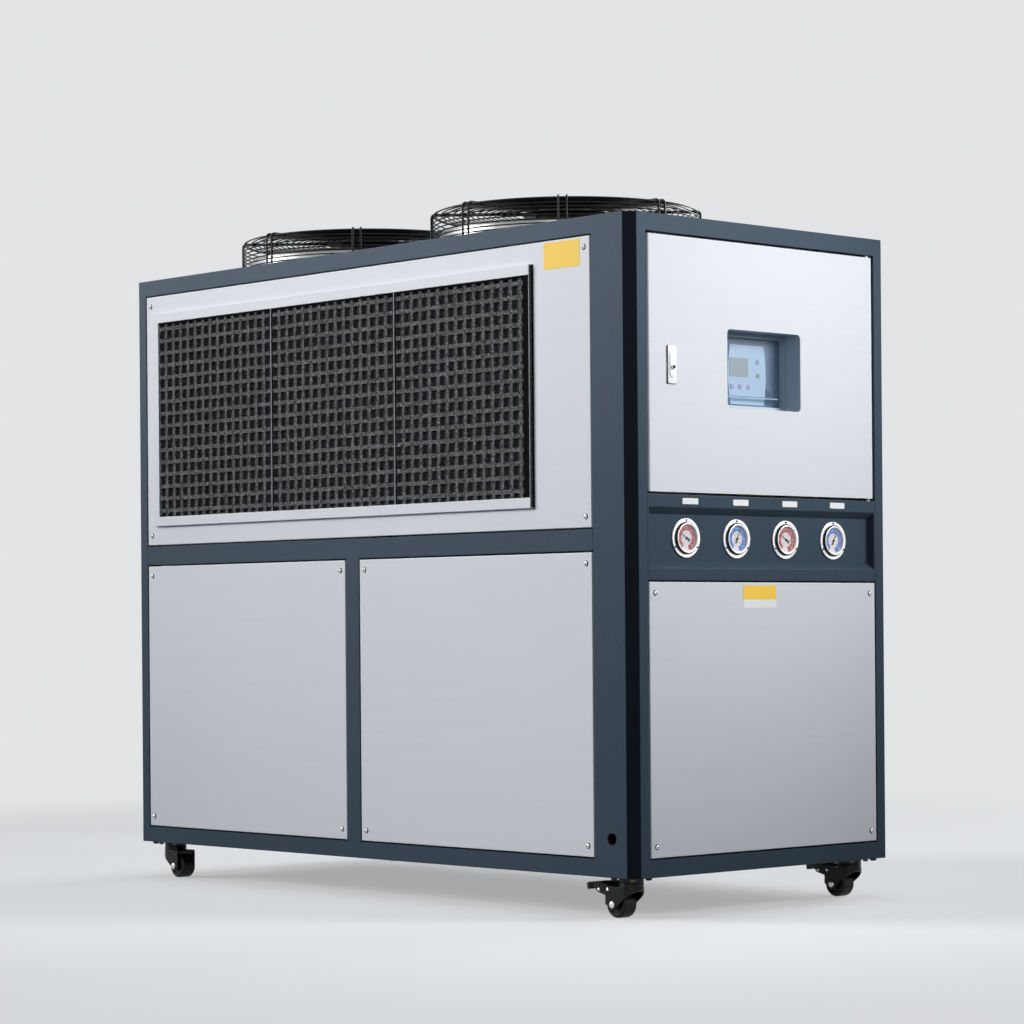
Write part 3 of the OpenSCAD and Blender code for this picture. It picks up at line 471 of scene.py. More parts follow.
# Black disc at the bottom of each head's socket: painted shade in the recess.
SCREW_SOCKET_SHADE = ((0, 1.6), (1.75, 1.6), (1.7, 2.0), (0, 1.9))
PLATE_T, PLATE_EDGE, PLATE_CORNER = 0.4 * MM, 0.1 * MM, 1.5 * MM
SIDE_PLATE_S, SIDE_PLATE_DOWN = (233 * MM, 134 * MM), (55 * MM, 4 * MM)
END_PLATE_LEFT, END_PLATE_RIGHT = -65 * MM, 29 * MM
END_YELLOW_DOWN, END_WHITE_DOWN = (33 * MM, 6 * MM), (50 * MM, 33.2 * MM)
INLET_S, INLET_UP = 58.5 * MM, 73.5 * MM
SLEEVE = ((0, -26), (12.6, -26), (12.6, -0.4), (11.4, -0.2), (11.4, -24.8), (0, -24.8))


def faces_corner(face):
    """Picks the faces that look out slantwise between a long side and an end."""
    return min(abs(face.normal.x), abs(face.normal.y)) > SLANTED


def along_face(outward):
    """Level direction along a face of the cabinet, and how far out the face lies."""
    return (Y, END_X) if abs(outward.x) > SLANTED else (X, SIDE_Y)


def dress_frame():
    """Posts, rails, base and roof; the corner chamfers get a darker paint that is painted shade."""
    chamfered = [FRAME_PAINT, CHAMFER_PAINTED_SHADE]
    for corner in CORNERS:
        dress(f"post_{corner}", f"corner_post_{corner}", chamfered, POST_EDGE,
              runs_along(Z), painted=faces_corner)
    for side, outward in SIDES.items():
        dress(f"rails_{side}", f"side_frame_{side}", FRAME_PAINT, RAIL_EDGE,
              lies_on(outward, SIDE_Y))
    dress("base_rail", "base_pan", chamfered, BASE_EDGE, lies_on(-Z, -BASE_Z),
          painted=faces_corner)
    dress("roof_cover", "top_cover", chamfered, ROOF_EDGE, lies_on(Z, ROOF_Z),
          painted=faces_corner)
    dress("gauge_rail", "gauge_panel", FRAME_PAINT, GAUGE_EDGE, lies_on(X, END_X))
    dress("far_rail", "far_end_rail", FRAME_PAINT, RAIL_EDGE, lies_on(-X, END_X))


def dress_panels():
    """Panels, and the channel rails round the filter windows."""
    for node, outward in PANELS.items():
        dress(f"{node}_sheet", node, PANEL_SHEET, PANEL_EDGE,
              lies_on(outward, along_face(outward)[1]))
    reach = -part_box("filter_rails_front")[0].y
    for side, outward in SIDES.items():
        dress(f"rails_of_filter_{side}", f"filter_rails_{side}", PANEL_SHEET,
              FILTER_RAIL_EDGE, lies_on(outward, reach))


def fit_panel_screws():
    """Button heads in dark cup washers, four on every panel, with a black disc in each head's socket that
    is painted shade.
    """
    seats = []
    for node, outward in PANELS.items():
        low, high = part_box(node)
        across, reach = along_face(outward)
        for near, side in ((low, 1), (high, -1)):
            along = near.dot(across) + side * SCREW_IN
            for height in (low.z + SCREW_UP, high.z - SCREW_UP):
                seats.append(stand(outward * reach + across * along + Z * height, outward))
    for name, profile, steps, finish in (("screw_washers", SCREW_WASHER, 16, BLACK_PLASTIC),
                                         ("screw_heads", SCREW_HEAD, 16, ZINC),
                                         ("screw_socket_shades", SCREW_SOCKET_SHADE, 8, BLACK_PLASTIC)):
        piece(name, placed(turned(profile, steps), *seats), finish, smooth=40)


def plate(name, low, high, outward, finish):
    """Thin bare plate stuck on a face between two corners given along the face and up."""
    across, reach = along_face(outward)
    sheet = slab((high[0] - low[0], high[1] - low[1], PLATE_T), PLATE_EDGE, 1, PLATE_CORNER)
    middle = across * (low[0] + high[0]) / 2 + Z * (low[1] + high[1]) / 2
    piece(name, placed(sheet, stand(outward * reach + middle, outward)), finish)


def fit_plates():
    """Bare plates on the filter panel and on the control end panel."""
    panel_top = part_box("filter_panel_front")[1].z
    end_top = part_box("control_end_panel")[1].z
    low, high = ((END_X - s, panel_top - down) for s, down in zip(SIDE_PLATE_S, SIDE_PLATE_DOWN))
    plate("upper_yellow_plate", low, high, -Y, YELLOW)
    for name, down, finish in (("lower_yellow_plate", END_YELLOW_DOWN, YELLOW),
                               ("lower_white_plate", END_WHITE_DOWN, WHITE)):
        plate(name, (END_PLATE_LEFT, end_top - down[0]), (END_PLATE_RIGHT, end_top - down[1]), X, finish)


def line_inlet():
    """Black sleeve with a closed bottom in the cable inlet."""
    place = Vector((END_X - INLET_S, -SIDE_Y, BASE_Z + INLET_UP))
    piece("inlet_sleeve", placed(turned(SLEEVE, 32), stand(place, -Y)), RUBBER, smooth=35)


# Filters and coils

LATTICE_EDGE = 0.7 * MM
NET_BEHIND, NET_INSET, NET_T = 1.2 * MM, 3 * MM, 0.5 * MM
RAIL_H = 20.5 * MM
JOINT_STRIP_W, JOINT_STRIP_T, JOINT_STRIP_EDGE = 2.6 * MM, 1.6 * MM, 0.4 * MM
# Sizes of black sheets at the filter screens, all painted shadow: in the joints, at the open end, past the
# rail end and under the upper rail.
JOINT_SHADOW_W, JOINT_SHADOW_T, JOINT_SHADOW_EDGE = 9 * MM, 0.4 * MM, 0.1 * MM
END_STRIP_W, END_STRIP_T, END_STRIP_EDGE = 1.8 * MM, 1.2 * MM, 0.3 * MM
END_SHADOW_W, GAP_SHADOW_W, GAP_SHADOW_OUT = 16 * MM, 4.5 * MM, 2.4 * MM
UPPER_SHADOW_H, UPPER_SHADOW_T = 4 * MM, 0.5 * MM
SHADOW_T, SHADOW_EDGE = 0.6 * MM, 0.2 * MM
FIN_PITCH = 2.4 * MM


def filter_net(node, outward):
    """Fine net close behind a lattice."""
    low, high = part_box(node)
    net = slab((high.x - low.x - NET_INSET, high.z - low.z - NET_INSET, NET_T))
    middle = (low + high) / 2
    seat = Vector((middle.x, outward.y * (SIDE_Y - NET_BEHIND), middle.z))
    return placed(net, stand(seat, outward))


def lattice_finish():
    """Matt plastic netting with light and dark spots of a few millimetres."""
    finish = Finish("filter_lattice", srgb(66, 67, 70), 0.8, specular=0.1)
    coarse = finish.group(GRAIN, {"Grain": 210.0})
    fine = finish.group(GRAIN, {"Grain": 520.0})
    spots = finish.reckon("MULTIPLY", coarse["Speckle"], fine["Speckle"])
    finish.bump(coarse["Peel"], 0.4 * MM)
    return finish.surface(Base_Color=finish.between(spots, srgb(42, 43, 46), srgb(146, 147, 151)))


def net_finish():
    """Dark threads, brighter where they cross and in spots, over a near-black ground between them that is
    painted shade seen through the net.
    """
    finish = Finish("filter_net", srgb(24, 24, 26), 0.85)
    weave = finish.group(WEAVE, {})
    cloud = finish.group(GRAIN, {"Grain": 350.0})
    spots = finish.reckon("MULTIPLY", finish.span(weave["Threads"], -0.4, 1.0), cloud["Speckle"])
    finish.bump(weave["Threads"], 0.15 * MM)
    # The near-black ground between the threads is painted shade seen through the net.
    return finish.surface(Base_Color=finish.between(spots, srgb(32, 34, 40), srgb(76, 78, 85)))


def fin_finish():
    """Thin upright fins, close together; the darker tone between them is painted shade in the gaps."""
    finish = Finish("coil_fin_metal", srgb(120, 124, 126), 0.45, 0.8)
    weave = finish.group(WEAVE, {"Pitch": FIN_PITCH})
    cloud = finish.group(GRAIN, {"Grain": 300.0})
    fins = finish.span(weave["Columns"], 0.0, 0.9)
    finish.bump(weave["Columns"], 0.6 * MM)
    # The dark tone between the fins is painted shade in the gaps between them.
    return finish.surface(Base_Color=finish.between(fins, srgb(92, 96, 98), srgb(184, 187, 190)),
                          Roughness=finish.span(cloud["Cloud"], 0.36, 0.56))


def seal_screens(side, outward, boxes, reach):
    """Metal strips between the screens, and flat black sheets that are painted shadow: in the joints beside
    the strips, under the upper rail, at the open end and in the gap past the rail end.
    """
    low, high = boxes[0]
    screen_h, middle_z = high.z - low.z, (low.z + high.z) / 2
    start, end = boxes[-1][0].x, high.x
    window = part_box(f"filter_rails_{side}")
    window_h = window[1].z - window[0].z
    clear_h = window_h - 2 * RAIL_H

    def seat(x, z=middle_z, out=reach):
        return stand(Vector((x, outward.y * out, z)), outward)

    joints = [seat((near[0].x + far[1].x) / 2) for near, far in zip(boxes, boxes[1:])]
    # Black sheets that are painted shadow, in the joints, at the open end, past the rail end and under the
    # upper rail.
    painted_shadows = placed(slab((JOINT_SHADOW_W, screen_h, JOINT_SHADOW_T), JOINT_SHADOW_EDGE), *joints)
    add(painted_shadows, slab((END_SHADOW_W, clear_h, SHADOW_T), SHADOW_EDGE), seat(end - END_SHADOW_W / 2 - END_STRIP_W))
    add(painted_shadows, slab((GAP_SHADOW_W, window_h, SHADOW_T), SHADOW_EDGE), seat(window[1].x + GAP_SHADOW_OUT, out=SIDE_Y))
    add(painted_shadows, slab((end - start, UPPER_SHADOW_H, UPPER_SHADOW_T), SHADOW_EDGE),
        seat((start + end) / 2, middle_z + clear_h / 2 - UPPER_SHADOW_H / 2))
    piece(f"screen_painted_shadows_{side}", painted_shadows, SHADOW_BLACK)
    strips = placed(slab((JOINT_STRIP_W, screen_h, JOINT_STRIP_T), JOINT_STRIP_EDGE), *joints)
    add(strips, slab((END_STRIP_W, clear_h, END_STRIP_T), END_STRIP_EDGE), seat(end - END_STRIP_W / 2))
    piece(f"screen_strips_{side}", strips, STRIP_METAL)


def dress_filters():
    """Lattice screens with their nets, strips and painted shadows, and the coils behind them."""
    lattice, net = lattice_finish(), net_finish()
    for side, outward in SIDES.items():
        nodes = [f"filter_screen_{side}_{number}" for number in SCREENS]
        boxes = [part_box(node) for node in nodes]
        reach = max(abs(corner.y) for corner in boxes[0])
        for number, node in zip(SCREENS, nodes):
            dress(f"lattice_{side}_{number}", node, lattice, LATTICE_EDGE,
                  lies_on(outward, reach), segments=2)
            piece(f"net_{side}_{number}", filter_net(node, outward), net)
        seal_screens(side, outward, boxes, reach)
    refinish("condenser_coils", fin_finish())


# Gauges

GAUGE_LOW, GAUGE_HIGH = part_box("pressure_gauges")
GAUGE_N = 4
GAUGE_FLANGE = GAUGE_HIGH.z - GAUGE_LOW.z
GAUGE_PITCH = (GAUGE_HIGH.y - GAUGE_LOW.y - GAUGE_FLANGE) / (GAUGE_N - 1)
GAUGE_Z = (GAUGE_LOW.z + GAUGE_HIGH.z) / 2
CASE_EDGE = 0.5 * MM
CASE_R, RIM_R = 31.6 * MM, 28.4 * MM
DIAL_X = GAUGE_HIGH.x - 5 * MM
DIAL_R = 25.3
CARD = ((0, 0.05), (DIAL_R, 0.05), (DIAL_R, 0.3), (0, 0.3))
LENS = ((0, 3.0), (DIAL_R, 2.9), (DIAL_R, 3.4), (15, 3.8), (0, 4.0))
STUD = ((0, -0.2), (1.9, -0.2), (1.9, 1.2), (1.2, 1.8), (0, 1.8))
STUD_R, STUD_TURNS = 34.2 * MM, [FULL_TURN * i / 3 for i in range(3)]
SCALE_START, SCALE_SWEEP = math.radians(225), math.radians(270)
TICKS, TICKS_PER_FIGURE = 30, 5
TICK_R, TICK_T, MARK_Z = 23.2 * MM, 0.1 * MM, 0.4 * MM
MAIN_TICK, FINE_TICK = (5.2 * MM, 0.9 * MM), (3.0 * MM, 0.5 * MM)
FIGURE_R, FIGURE_H, FIGURE_T = 10.8 * MM, 4.0 * MM, 0.04 * MM
BAND = ((14.5, 0.2), (14.5, 0.36), (24.8, 0.36), (24.8, 0.2))
BAND_START, BAND_SWEEP = math.radians(-75), math.radians(312)
POINTER, POINTER_TAPER = (2.0, 26, 0.5), 0.25
COUNTERWEIGHT, COUNTERWEIGHT_CORNER = (3.6, 7, 0.5), 1.5
NEEDLE_HUB = ((0, 0.3), (2.6, 0.3), (2.6, 2.2), (1.8, 2.6), (0, 2.6))
NEEDLE_OFF, NEEDLE_Z = 6 * MM, 1.4 * MM
NEEDLE_LEANS = (math.radians(60), math.radians(-25))
TAG_HALF_W, TAG_HALF_H, TAG_DOWN = 21.5 * MM, 5.75 * MM, 11.5 * MM


def gauge_seat(number, x):
    return end_seat(x, GAUGE_LOW.y + GAUGE_FLANGE / 2 + number * GAUGE_PITCH, GAUGE_Z)


def on_case_wall(face):
    """Picks the round wall of a gauge's raised case and the slope up to its rim, which get black paint that
    is painted shade and dark reflection.
    """
    middle = face.calc_center_median()
    number = round((middle.y - GAUGE_LOW.y - GAUGE_FLANGE / 2) / GAUGE_PITCH)
    centre = gauge_seat(number, middle.x).translation
    return face.normal.x < FLAT_ON and RIM_R < (middle - centre).length < CASE_R


def digits(text):
    """Numerals as a thin flat shape, centred on their place."""
    curve = bpy.data.curves.new("digits", "FONT")
    curve.body = text
    curve.size = FIGURE_H
    curve.align_x = "CENTER"
    curve.align_y = "CENTER"
    curve.extrude = FIGURE_T
    holder = bpy.data.objects.new("digits", curve)
    link(holder)
    bpy.context.view_layer.update()
    mesh = bpy.data.meshes.new_from_object(holder.evaluated_get(bpy.context.evaluated_depsgraph_get()))
    made = bmesh.new()
    made.from_mesh(mesh)
    bpy.data.objects.remove(holder)
    bpy.data.curves.remove(curve)
    bpy.data.meshes.remove(mesh)
    return clean(made)


def dial_scale():
    """Ticks on a dial's band and the numerals inside it."""
    marks, numbers = bmesh.new(), bmesh.new()
    for i in range(TICKS + 1):
        angle = SCALE_START - SCALE_SWEEP * i / TICKS
        main = i % TICKS_PER_FIGURE == 0
        length, width = MAIN_TICK if main else FINE_TICK
        add(marks, slab((length, width, TICK_T)), turn_z(angle) @ shift((TICK_R - length / 2, 0, MARK_Z)))
        if main:
            place = Vector((math.cos(angle), math.sin(angle), 0)) * FIGURE_R
            add(numbers, digits(str(i)), shift(place + Z * MARK_Z))
    return marks, numbers


def needle_shape():
    """Tapered pointer with a counterweight and a hub, pointing along +Y."""
    pointer = block(POINTER)
    tip = [v for v in pointer.verts if v.co.y > 0]
    bmesh.ops.scale(pointer, verts=tip, vec=(POINTER_TAPER, 1, 1))
    needle = placed(pointer, shift((0, NEEDLE_OFF, NEEDLE_Z)))
    add(needle, block(COUNTERWEIGHT, corner=COUNTERWEIGHT_CORNER), shift((0, -NEEDLE_OFF, NEEDLE_Z)))
    return add(needle, turned(NEEDLE_HUB, 16))


def fit_gauges():
    """Gauge cases, their dials, needles, glasses and studs, and bare tags over them."""
    # The case walls are painted black: painted shade and dark reflection round each dial.
    dress("gauge_cases", "pressure_gauges", [FLANGE_METAL, BLACK_PLASTIC], CASE_EDGE,
          segments=2, smooth=25, painted=on_case_wall)
    seats = [gauge_seat(number, DIAL_X) for number in range(GAUGE_N)]
    bands = [seat @ turn_z(BAND_START) for seat in seats]
    leans = [seat @ turn_z(NEEDLE_LEANS[number % 2]) for number, seat in enumerate(seats)]
    rims = [seat @ turn_z(turn) @ shift((0, STUD_R, 0)) for seat in seats for turn in STUD_TURNS]
    band = turned(BAND, 60, BAND_SWEEP)
    marks, figures = dial_scale()
    for name, shape, finish, places, smooth in (
            ("gauge_cards", turned(CARD, 48), DIAL_CARD, seats, 30),
            ("gauge_bands_red", band, DIAL_RED, bands[0::2], None),
            ("gauge_bands_blue", band, DIAL_BLUE, bands[1::2], None),
            ("gauge_marks", marks, WHITE, seats, None),
            ("gauge_figures", figures, BLACK_PLASTIC, seats, None),
            ("gauge_needles", needle_shape(), BLACK_PLASTIC, leans, 35),
            ("gauge_glasses", turned(LENS, 48), GLASS, seats, 35),
            ("gauge_studs", turned(STUD, 12), BLACK_PLASTIC, rims, 35)):
        piece(name, placed(shape, *places), finish, smooth=smooth)
    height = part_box("gauge_panel")[1].z - TAG_DOWN
    for number, seat in enumerate(seats):
        middle = seat.translation.y
        plate(f"gauge_tag_{number + 1}", (middle - TAG_HALF_W, height - TAG_HALF_H),
              (middle + TAG_HALF_W, height + TAG_HALF_H), X, WHITE)


# Fans

RING_WIRE, SPOKE_WIRE = 3 * MM, 4.5 * MM
GUARD_BEND, BEND_STEPS = 8 * MM, 8
HUB_R, HUB_TOP = 92, 1.5
HUB = ((0, -HUB_TOP), (90, -HUB_TOP), (HUB_R, -0.7), (HUB_R, 0.7), (90, HUB_TOP), (30, HUB_TOP), (27, 2.7),
       (0, 3.1))
GUARD_BOLT = ((0, 0), (6, 0), (6, 2), (5.2, 2.6), (0, 2.6))
GUARD_BOLT_N, GUARD_BOLT_R = 4, 55 * MM
SIDE_PITCH, TOP_PITCH = 8 * MM, 12.5 * MM
RING_START, RING_WELD = 2 * MM, 0.8 * MM
SPOKE_PAIRS, SPOKE_GAP, SPOKE_LAP = 8, 17 * MM, 8 * MM
COLLAR_RIM_R, COLLAR_RIM_WIRE, COLLAR_RIM_DOWN = 260 * MM, 4.5 * MM, 1.5 * MM
FLANGE_BOLT = ((0, 0), (5, 0), (5, 2.2), (4.2, 2.8), (0, 2.8))
FLANGE_BOLT_N, FLANGE_BOLT_R, FLANGE_T = 8, 268.5 * MM, 2 * MM
BLADE_EDGE, MOTOR_EDGE = 0.8 * MM, 1.5 * MM


def fan_seat(number):
    low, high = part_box(f"fan_guard_{number}")
    return Vector(((low.x + high.x) / 2, (low.y + high.y) / 2, ROOF_Z))


def bolt_circle(count, radius, height):
    """Places spread evenly round Z, the first half a step from +X."""
    return [turn_z(FULL_TURN * (i + 0.5) / count) @ shift((radius, 0, height)) for i in range(count)]


def guard_shape(size, height):
    """Rings of thin wire inside pairs of bent spokes, round a middle plate."""
    spoke_r = size / 2 - SPOKE_WIRE / 2
    bend_r = spoke_r - GUARD_BEND
    bend_z = height - SPOKE_WIRE / 2 - GUARD_BEND
    ring_r = spoke_r - SPOKE_WIRE / 2 - RING_WIRE / 2 + RING_WELD
    top_z = height - SPOKE_WIRE - RING_WIRE / 2 + RING_WELD
    shoulder = GUARD_BEND - SPOKE_WIRE / 2 - RING_WIRE / 2 + RING_WELD
    slant = shoulder * math.sqrt(0.5)
    guard = placed(ring(bend_r + slant, RING_WIRE), shift(Z * (bend_z + slant)))
    for i in range(int((bend_z - RING_START) / SIDE_PITCH) + 1):
        add(guard, ring(ring_r, RING_WIRE), shift(Z * (RING_START + RING_WIRE / 2 + i * SIDE_PITCH)))
    for i in range(int((bend_r - HUB_R * MM) / TOP_PITCH)):
        add(guard, ring(bend_r - i * TOP_PITCH, RING_WIRE), shift(Z * top_z))
    spoke = Wire(Vector((spoke_r, 0, RING_START)), Z, Y, SPOKE_WIRE).run(Z * (bend_z - RING_START))
    spoke.turn(Vector((bend_r, 0, bend_z)), -Y, math.pi / 2, BEND_STEPS)
    spoke = spoke.run(-X * (bend_r - HUB_R * MM + SPOKE_LAP)).end()
    for i in range(SPOKE_PAIRS):
        for side in (-1, 1):
            add(guard, spoke, turn_z(FULL_TURN * i / SPOKE_PAIRS) @ shift(Y * side * SPOKE_GAP / 2))
    add(guard, turned(HUB, 64), shift(Z * top_z))
    bolts = bolt_circle(GUARD_BOLT_N, GUARD_BOLT_R, top_z + HUB_TOP * MM)
    return add(guard, turned(GUARD_BOLT, 6), *bolts)


def dress_fans():
    """Guards, rotors, collars with rolled rims and flange bolts, and motors."""
    low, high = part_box("fan_guard_1")
    guard = guard_shape(high.x - low.x, high.z - ROOF_Z)
    for number in FANS:
        piece(f"wire_guard_{number}", placed(guard, shift(fan_seat(number))), BLACK_WIRE,
              replaces=[f"fan_guard_{number}"], smooth=50)
        dress(f"blades_{number}", f"fan_rotor_{number}", FAN_PAINT, BLADE_EDGE,
              body=f"fan_{number}", segments=2, smooth=25, least=BLADE_EDGE_ANGLE)
    collars = node_copy("fan_collars")
    rim_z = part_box("fan_collars")[1].z - ROOF_Z - COLLAR_RIM_DOWN
    rim = ring(COLLAR_RIM_R, COLLAR_RIM_WIRE, steps=144, sides=12)
    for number in FANS:
        seat = shift(fan_seat(number))
        add(collars, rim, seat @ shift(Z * rim_z))
        add(collars, turned(FLANGE_BOLT, 6),
            *[seat @ place for place in bolt_circle(FLANGE_BOLT_N, FLANGE_BOLT_R, FLANGE_T)])
    piece("collars", collars, ZINC, replaces=["fan_collars"], smooth=30)
    dress("motor_stators", "fan_motors", FAN_PAINT, MOTOR_EDGE, smooth=25)


# Casters

FORK_EDGE, WHEEL_EDGE, CASTER_PLATE_EDGE = 0.4 * MM, 0.6 * MM, 0.8 * MM
TRAIL = 26 * MM
FORK_HALF = 24.5 * MM
PLATE_UNDER = BASE_Z - 4 * MM
BRAKE_RIVETS = ((-63 * MM, 52.7 * MM), (-39 * MM, 54 * MM))
PLATE_BOLTS = [(x * MM, y * MM) for x in (-25, 25) for y in (-21, 21)]
PLUGS = ((56 * MM, 9 * MM), (5 * MM, 50 * MM))
AXLE_CAP = ((0, 0), (6.6, 0), (6.6, 2.6), (5.4, 3.8), (3.2, 4.2), (0, 4.2))
RIVET = ((0, 0), (3.2, 0), (2.8, 1.0), (1.6, 1.5), (0, 1.6))
PLATE_BOLT = ((0, 0), (5.2, 0), (5.2, 3.4), (4.4, 4.2), (0, 4.2))
PLUG = ((0, 0), (6.5, 0), (6.2, 3.0), (4.6, 4.4), (0, 4.6))


def dress_casters():
    """Forks, wheels, axle caps, brake rivets and top plates, and the plugs in the base beside them."""
    axle_cap, rivet = turned(AXLE_CAP, 24), turned(RIVET, 16)
    bolt, plug = turned(PLATE_BOLT, 6), turned(PLUG, 20)
    plate_bolts, plugs = bmesh.new(), bmesh.new()
    for corner in CORNERS:
        fork, wheel = f"fork_{corner}", f"wheel_{corner}"
        for part, finish, slot, edge in ((fork, BLACK_STEEL, "caster_steel", FORK_EDGE),
                                         (wheel, RUBBER, "wheel_rubber", WHEEL_EDGE)):
            dress(part, f"caster_{part}", finish, edge, body=part, segments=2, smooth=25)
        low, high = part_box(f"caster_{wheel}")
        hub = (low + high) / 2
        end, side = math.copysign(1, hub.x), math.copysign(1, hub.y)
        axis = Vector((hub.x + end * TRAIL, hub.y, 0))
        caps = bmesh.new()
        for way in (-Y, Y):
            add(caps, axle_cap, stand(hub + way * FORK_HALF, way))
            for along, up in BRAKE_RIVETS if corner in BRAKED else ():
                add(caps, rivet, stand(Vector((axis.x + along, hub.y, up)) + way * FORK_HALF, way))
        piece(f"caster_caps_{corner}", caps, ZINC, fork, smooth=35)
        for along, across in PLATE_BOLTS:
            add(plate_bolts, bolt, stand(axis + Vector((along, across, PLATE_UNDER)), -Z, X))
        for along, across in PLUGS:
            add(plugs, plug, stand(axis + Vector((end * along, side * across, BASE_Z)), -Z, X))
    piece("caster_plate_bolts", plate_bolts, YELLOW_ZINC, smooth=35)
    piece("base_plugs", plugs, RUBBER, smooth=35)
    dress("caster_tops", "caster_plates", BLACK_STEEL, CASTER_PLATE_EDGE,
          segments=2, smooth=25)


# Door, display and latch

DOOR_EDGE, HOUSING_EDGE, CONTROLLER_EDGE, LATCH_EDGE = (width * MM for width in (1.2, 1.0, 0.3, 0.8))
DISPLAY_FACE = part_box("controller_face")[1].x
OVERLAY_T = 1.45 * MM
LEDGE_FACE, PANE_FACE = (corner.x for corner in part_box("window_pane"))
PANE_GAP, PANE_EDGE, PANE_CORNER = 0.3 * MM, 0.3 * MM, 9 * MM
# Finish, slot, plane, and in millimetres the size, the softened edge, the corner and the places
DISPLAY_PARTS = {
    "display_screen": (SCREEN_GREY, "controller_plastic", DISPLAY_FACE, (53, 37, 0.6), 0.2, 1,
                       [(-23.5, 1056.5)]),
    "display_keys": (KEY_PURPLE, "controller_plastic", DISPLAY_FACE, (9.6, 9.6, 0.9), 0.4, 3,
                     [(-43.7, 1018.7), (-20.7, 1019.0), (3.8, 1018.6), (30, 1069)]),
    "display_lamp": (LAMP_GREEN, "controller_plastic", DISPLAY_FACE, (8.8, 8.8, 0.8), 0.4, 2,
                     [(31.5, 1042)]),
    # Pale strip on the cover's fold is a painted highlight; the dark strip above it is painted shade.
    "cover_fold_painted_highlight": (OVERLAY, "clear_cover", PANE_FACE, (178, 1.8, 0.9), 0.4, 0, [(-13, 997)]),
    "cover_painted_shade": (CONTROLLER, "clear_cover", PANE_FACE, (178, 1.6, 0.5), 0.1, 0, [(-13, 998.8)]),
}
LATCH_LOW, LATCH_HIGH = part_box("door_latch")
# Dark sheet under the latch, a little larger than it: painted shade along the latch's edges.
LATCH_SHADE_OUT, LATCH_SHADE_T, LATCH_SHADE_CORNER = 0.8 * MM, 1.9 * MM, 1.6 * MM
KEYHOLE_SLOT, KEYHOLE_CORNER = (2.0, 7.2, 0.3), 0.8
KEYHOLE_DISC = ((0, 0), (3.4, 0), (3.4, 0.3), (0, 0.3))
KEYHOLE_SUNK, LOCK_DROP = 0.1 * MM, 4.5 * MM
DOOR_T = 2 * MM
FOAM_IN, FOAM_W, FOAM_D, FOAM_EDGE, FOAM_GAP = (
    size * MM for size in (24, 12, 6, 2, 0.4))


def on_door(name, shape, finish, slot, *seats):
    """A shape repeated on the door at each seat."""
    piece(name, placed(shape, *seats), finish, "door")


def dress_door():
    """Door sheet, display housing, controller with its overlay, and the clear pane over them."""
    dress("door_sheet", "control_door", PANEL_SHEET, DOOR_EDGE, lies_on(X, END_X), "door")
    dress("display_housing", "controller_housing", HOUSING, HOUSING_EDGE,
          lies_on(X, LEDGE_FACE), "door", smooth=25)
    dress("controller_body", "controller_face", [CONTROLLER, OVERLAY],
          CONTROLLER_EDGE, body="door", segments=2,
          painted=lambda face: face.calc_center_median().x > DISPLAY_FACE - OVERLAY_T)
    low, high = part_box("window_pane")
    pane = slab((high.y - low.y, high.z - low.z, PANE_FACE - LEDGE_FACE - PANE_GAP), PANE_EDGE,
                corner=PANE_CORNER)
    seat = end_seat(LEDGE_FACE + PANE_GAP, 0, (low.z + high.z) / 2)
    piece("clear_pane", placed(pane, seat), CLEAR, "door", ["window_pane"])


def fit_display():
    """Grey screen, keys, lamp, and low in the clear cover a pale strip that is a painted highlight on the
    cover's folded edge, with a dark strip above it that is painted shade.
    """
    for name, (finish, slot, face, size, edge, corner, places) in DISPLAY_PARTS.items():
        seats = [end_seat(face, y * MM, z * MM) for y, z in places]
        on_door(name, block(size, edge, corner), finish, slot, *seats)


def fit_latch():
    """Paddle latch in a white surround, with a dark sheet under it that is painted shade round its edge,
    and a keyhole.
    """
    dress("latch", "door_latch", LATCH_WHITE, LATCH_EDGE, body="door", smooth=25)
    middle, size = (LATCH_LOW + LATCH_HIGH) / 2, LATCH_HIGH - LATCH_LOW
    # The dark sheet under the latch is painted shade round its edge.
    shade_sheet = slab((size.y + LATCH_SHADE_OUT, size.z + LATCH_SHADE_OUT, LATCH_SHADE_T), corner=LATCH_SHADE_CORNER)
    on_door("latch_painted_shade", shade_sheet, RUBBER, "latch_plastic", end_seat(END_X, middle.y, middle.z))
    keyhole = add(block(KEYHOLE_SLOT, corner=KEYHOLE_CORNER), turned(KEYHOLE_DISC, 20))
    lock = end_seat(LATCH_HIGH.x - KEYHOLE_SUNK, middle.y, middle.z - LOCK_DROP)
    on_door("latch_keyhole", keyhole, BLACK_PLASTIC, "latch_plastic", lock)


def fit_door_seal():
    """Foam strip round the inside of the door."""
    low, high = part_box("control_door")
    half_w, half_h = (high.y - low.y) / 2 - FOAM_IN, (high.z - low.z) / 2 - FOAM_IN
    middle = Vector((END_X - DOOR_T, (low.y + high.y) / 2, (low.z + high.z) / 2))
    upright = slab((FOAM_W, 2 * half_h + FOAM_W, FOAM_D), FOAM_EDGE)
    level = slab((2 * half_w - FOAM_W - FOAM_GAP, FOAM_W, FOAM_D), FOAM_EDGE)
    strips = bmesh.new()
    for side in (-1, 1):
        add(strips, upright, stand(middle + Y * side * half_w, -X))
        add(strips, level, stand(middle + Z * side * half_h, -X))
    piece("door_seal", strips, RUBBER, "door")


# Electrical compartment and water sockets

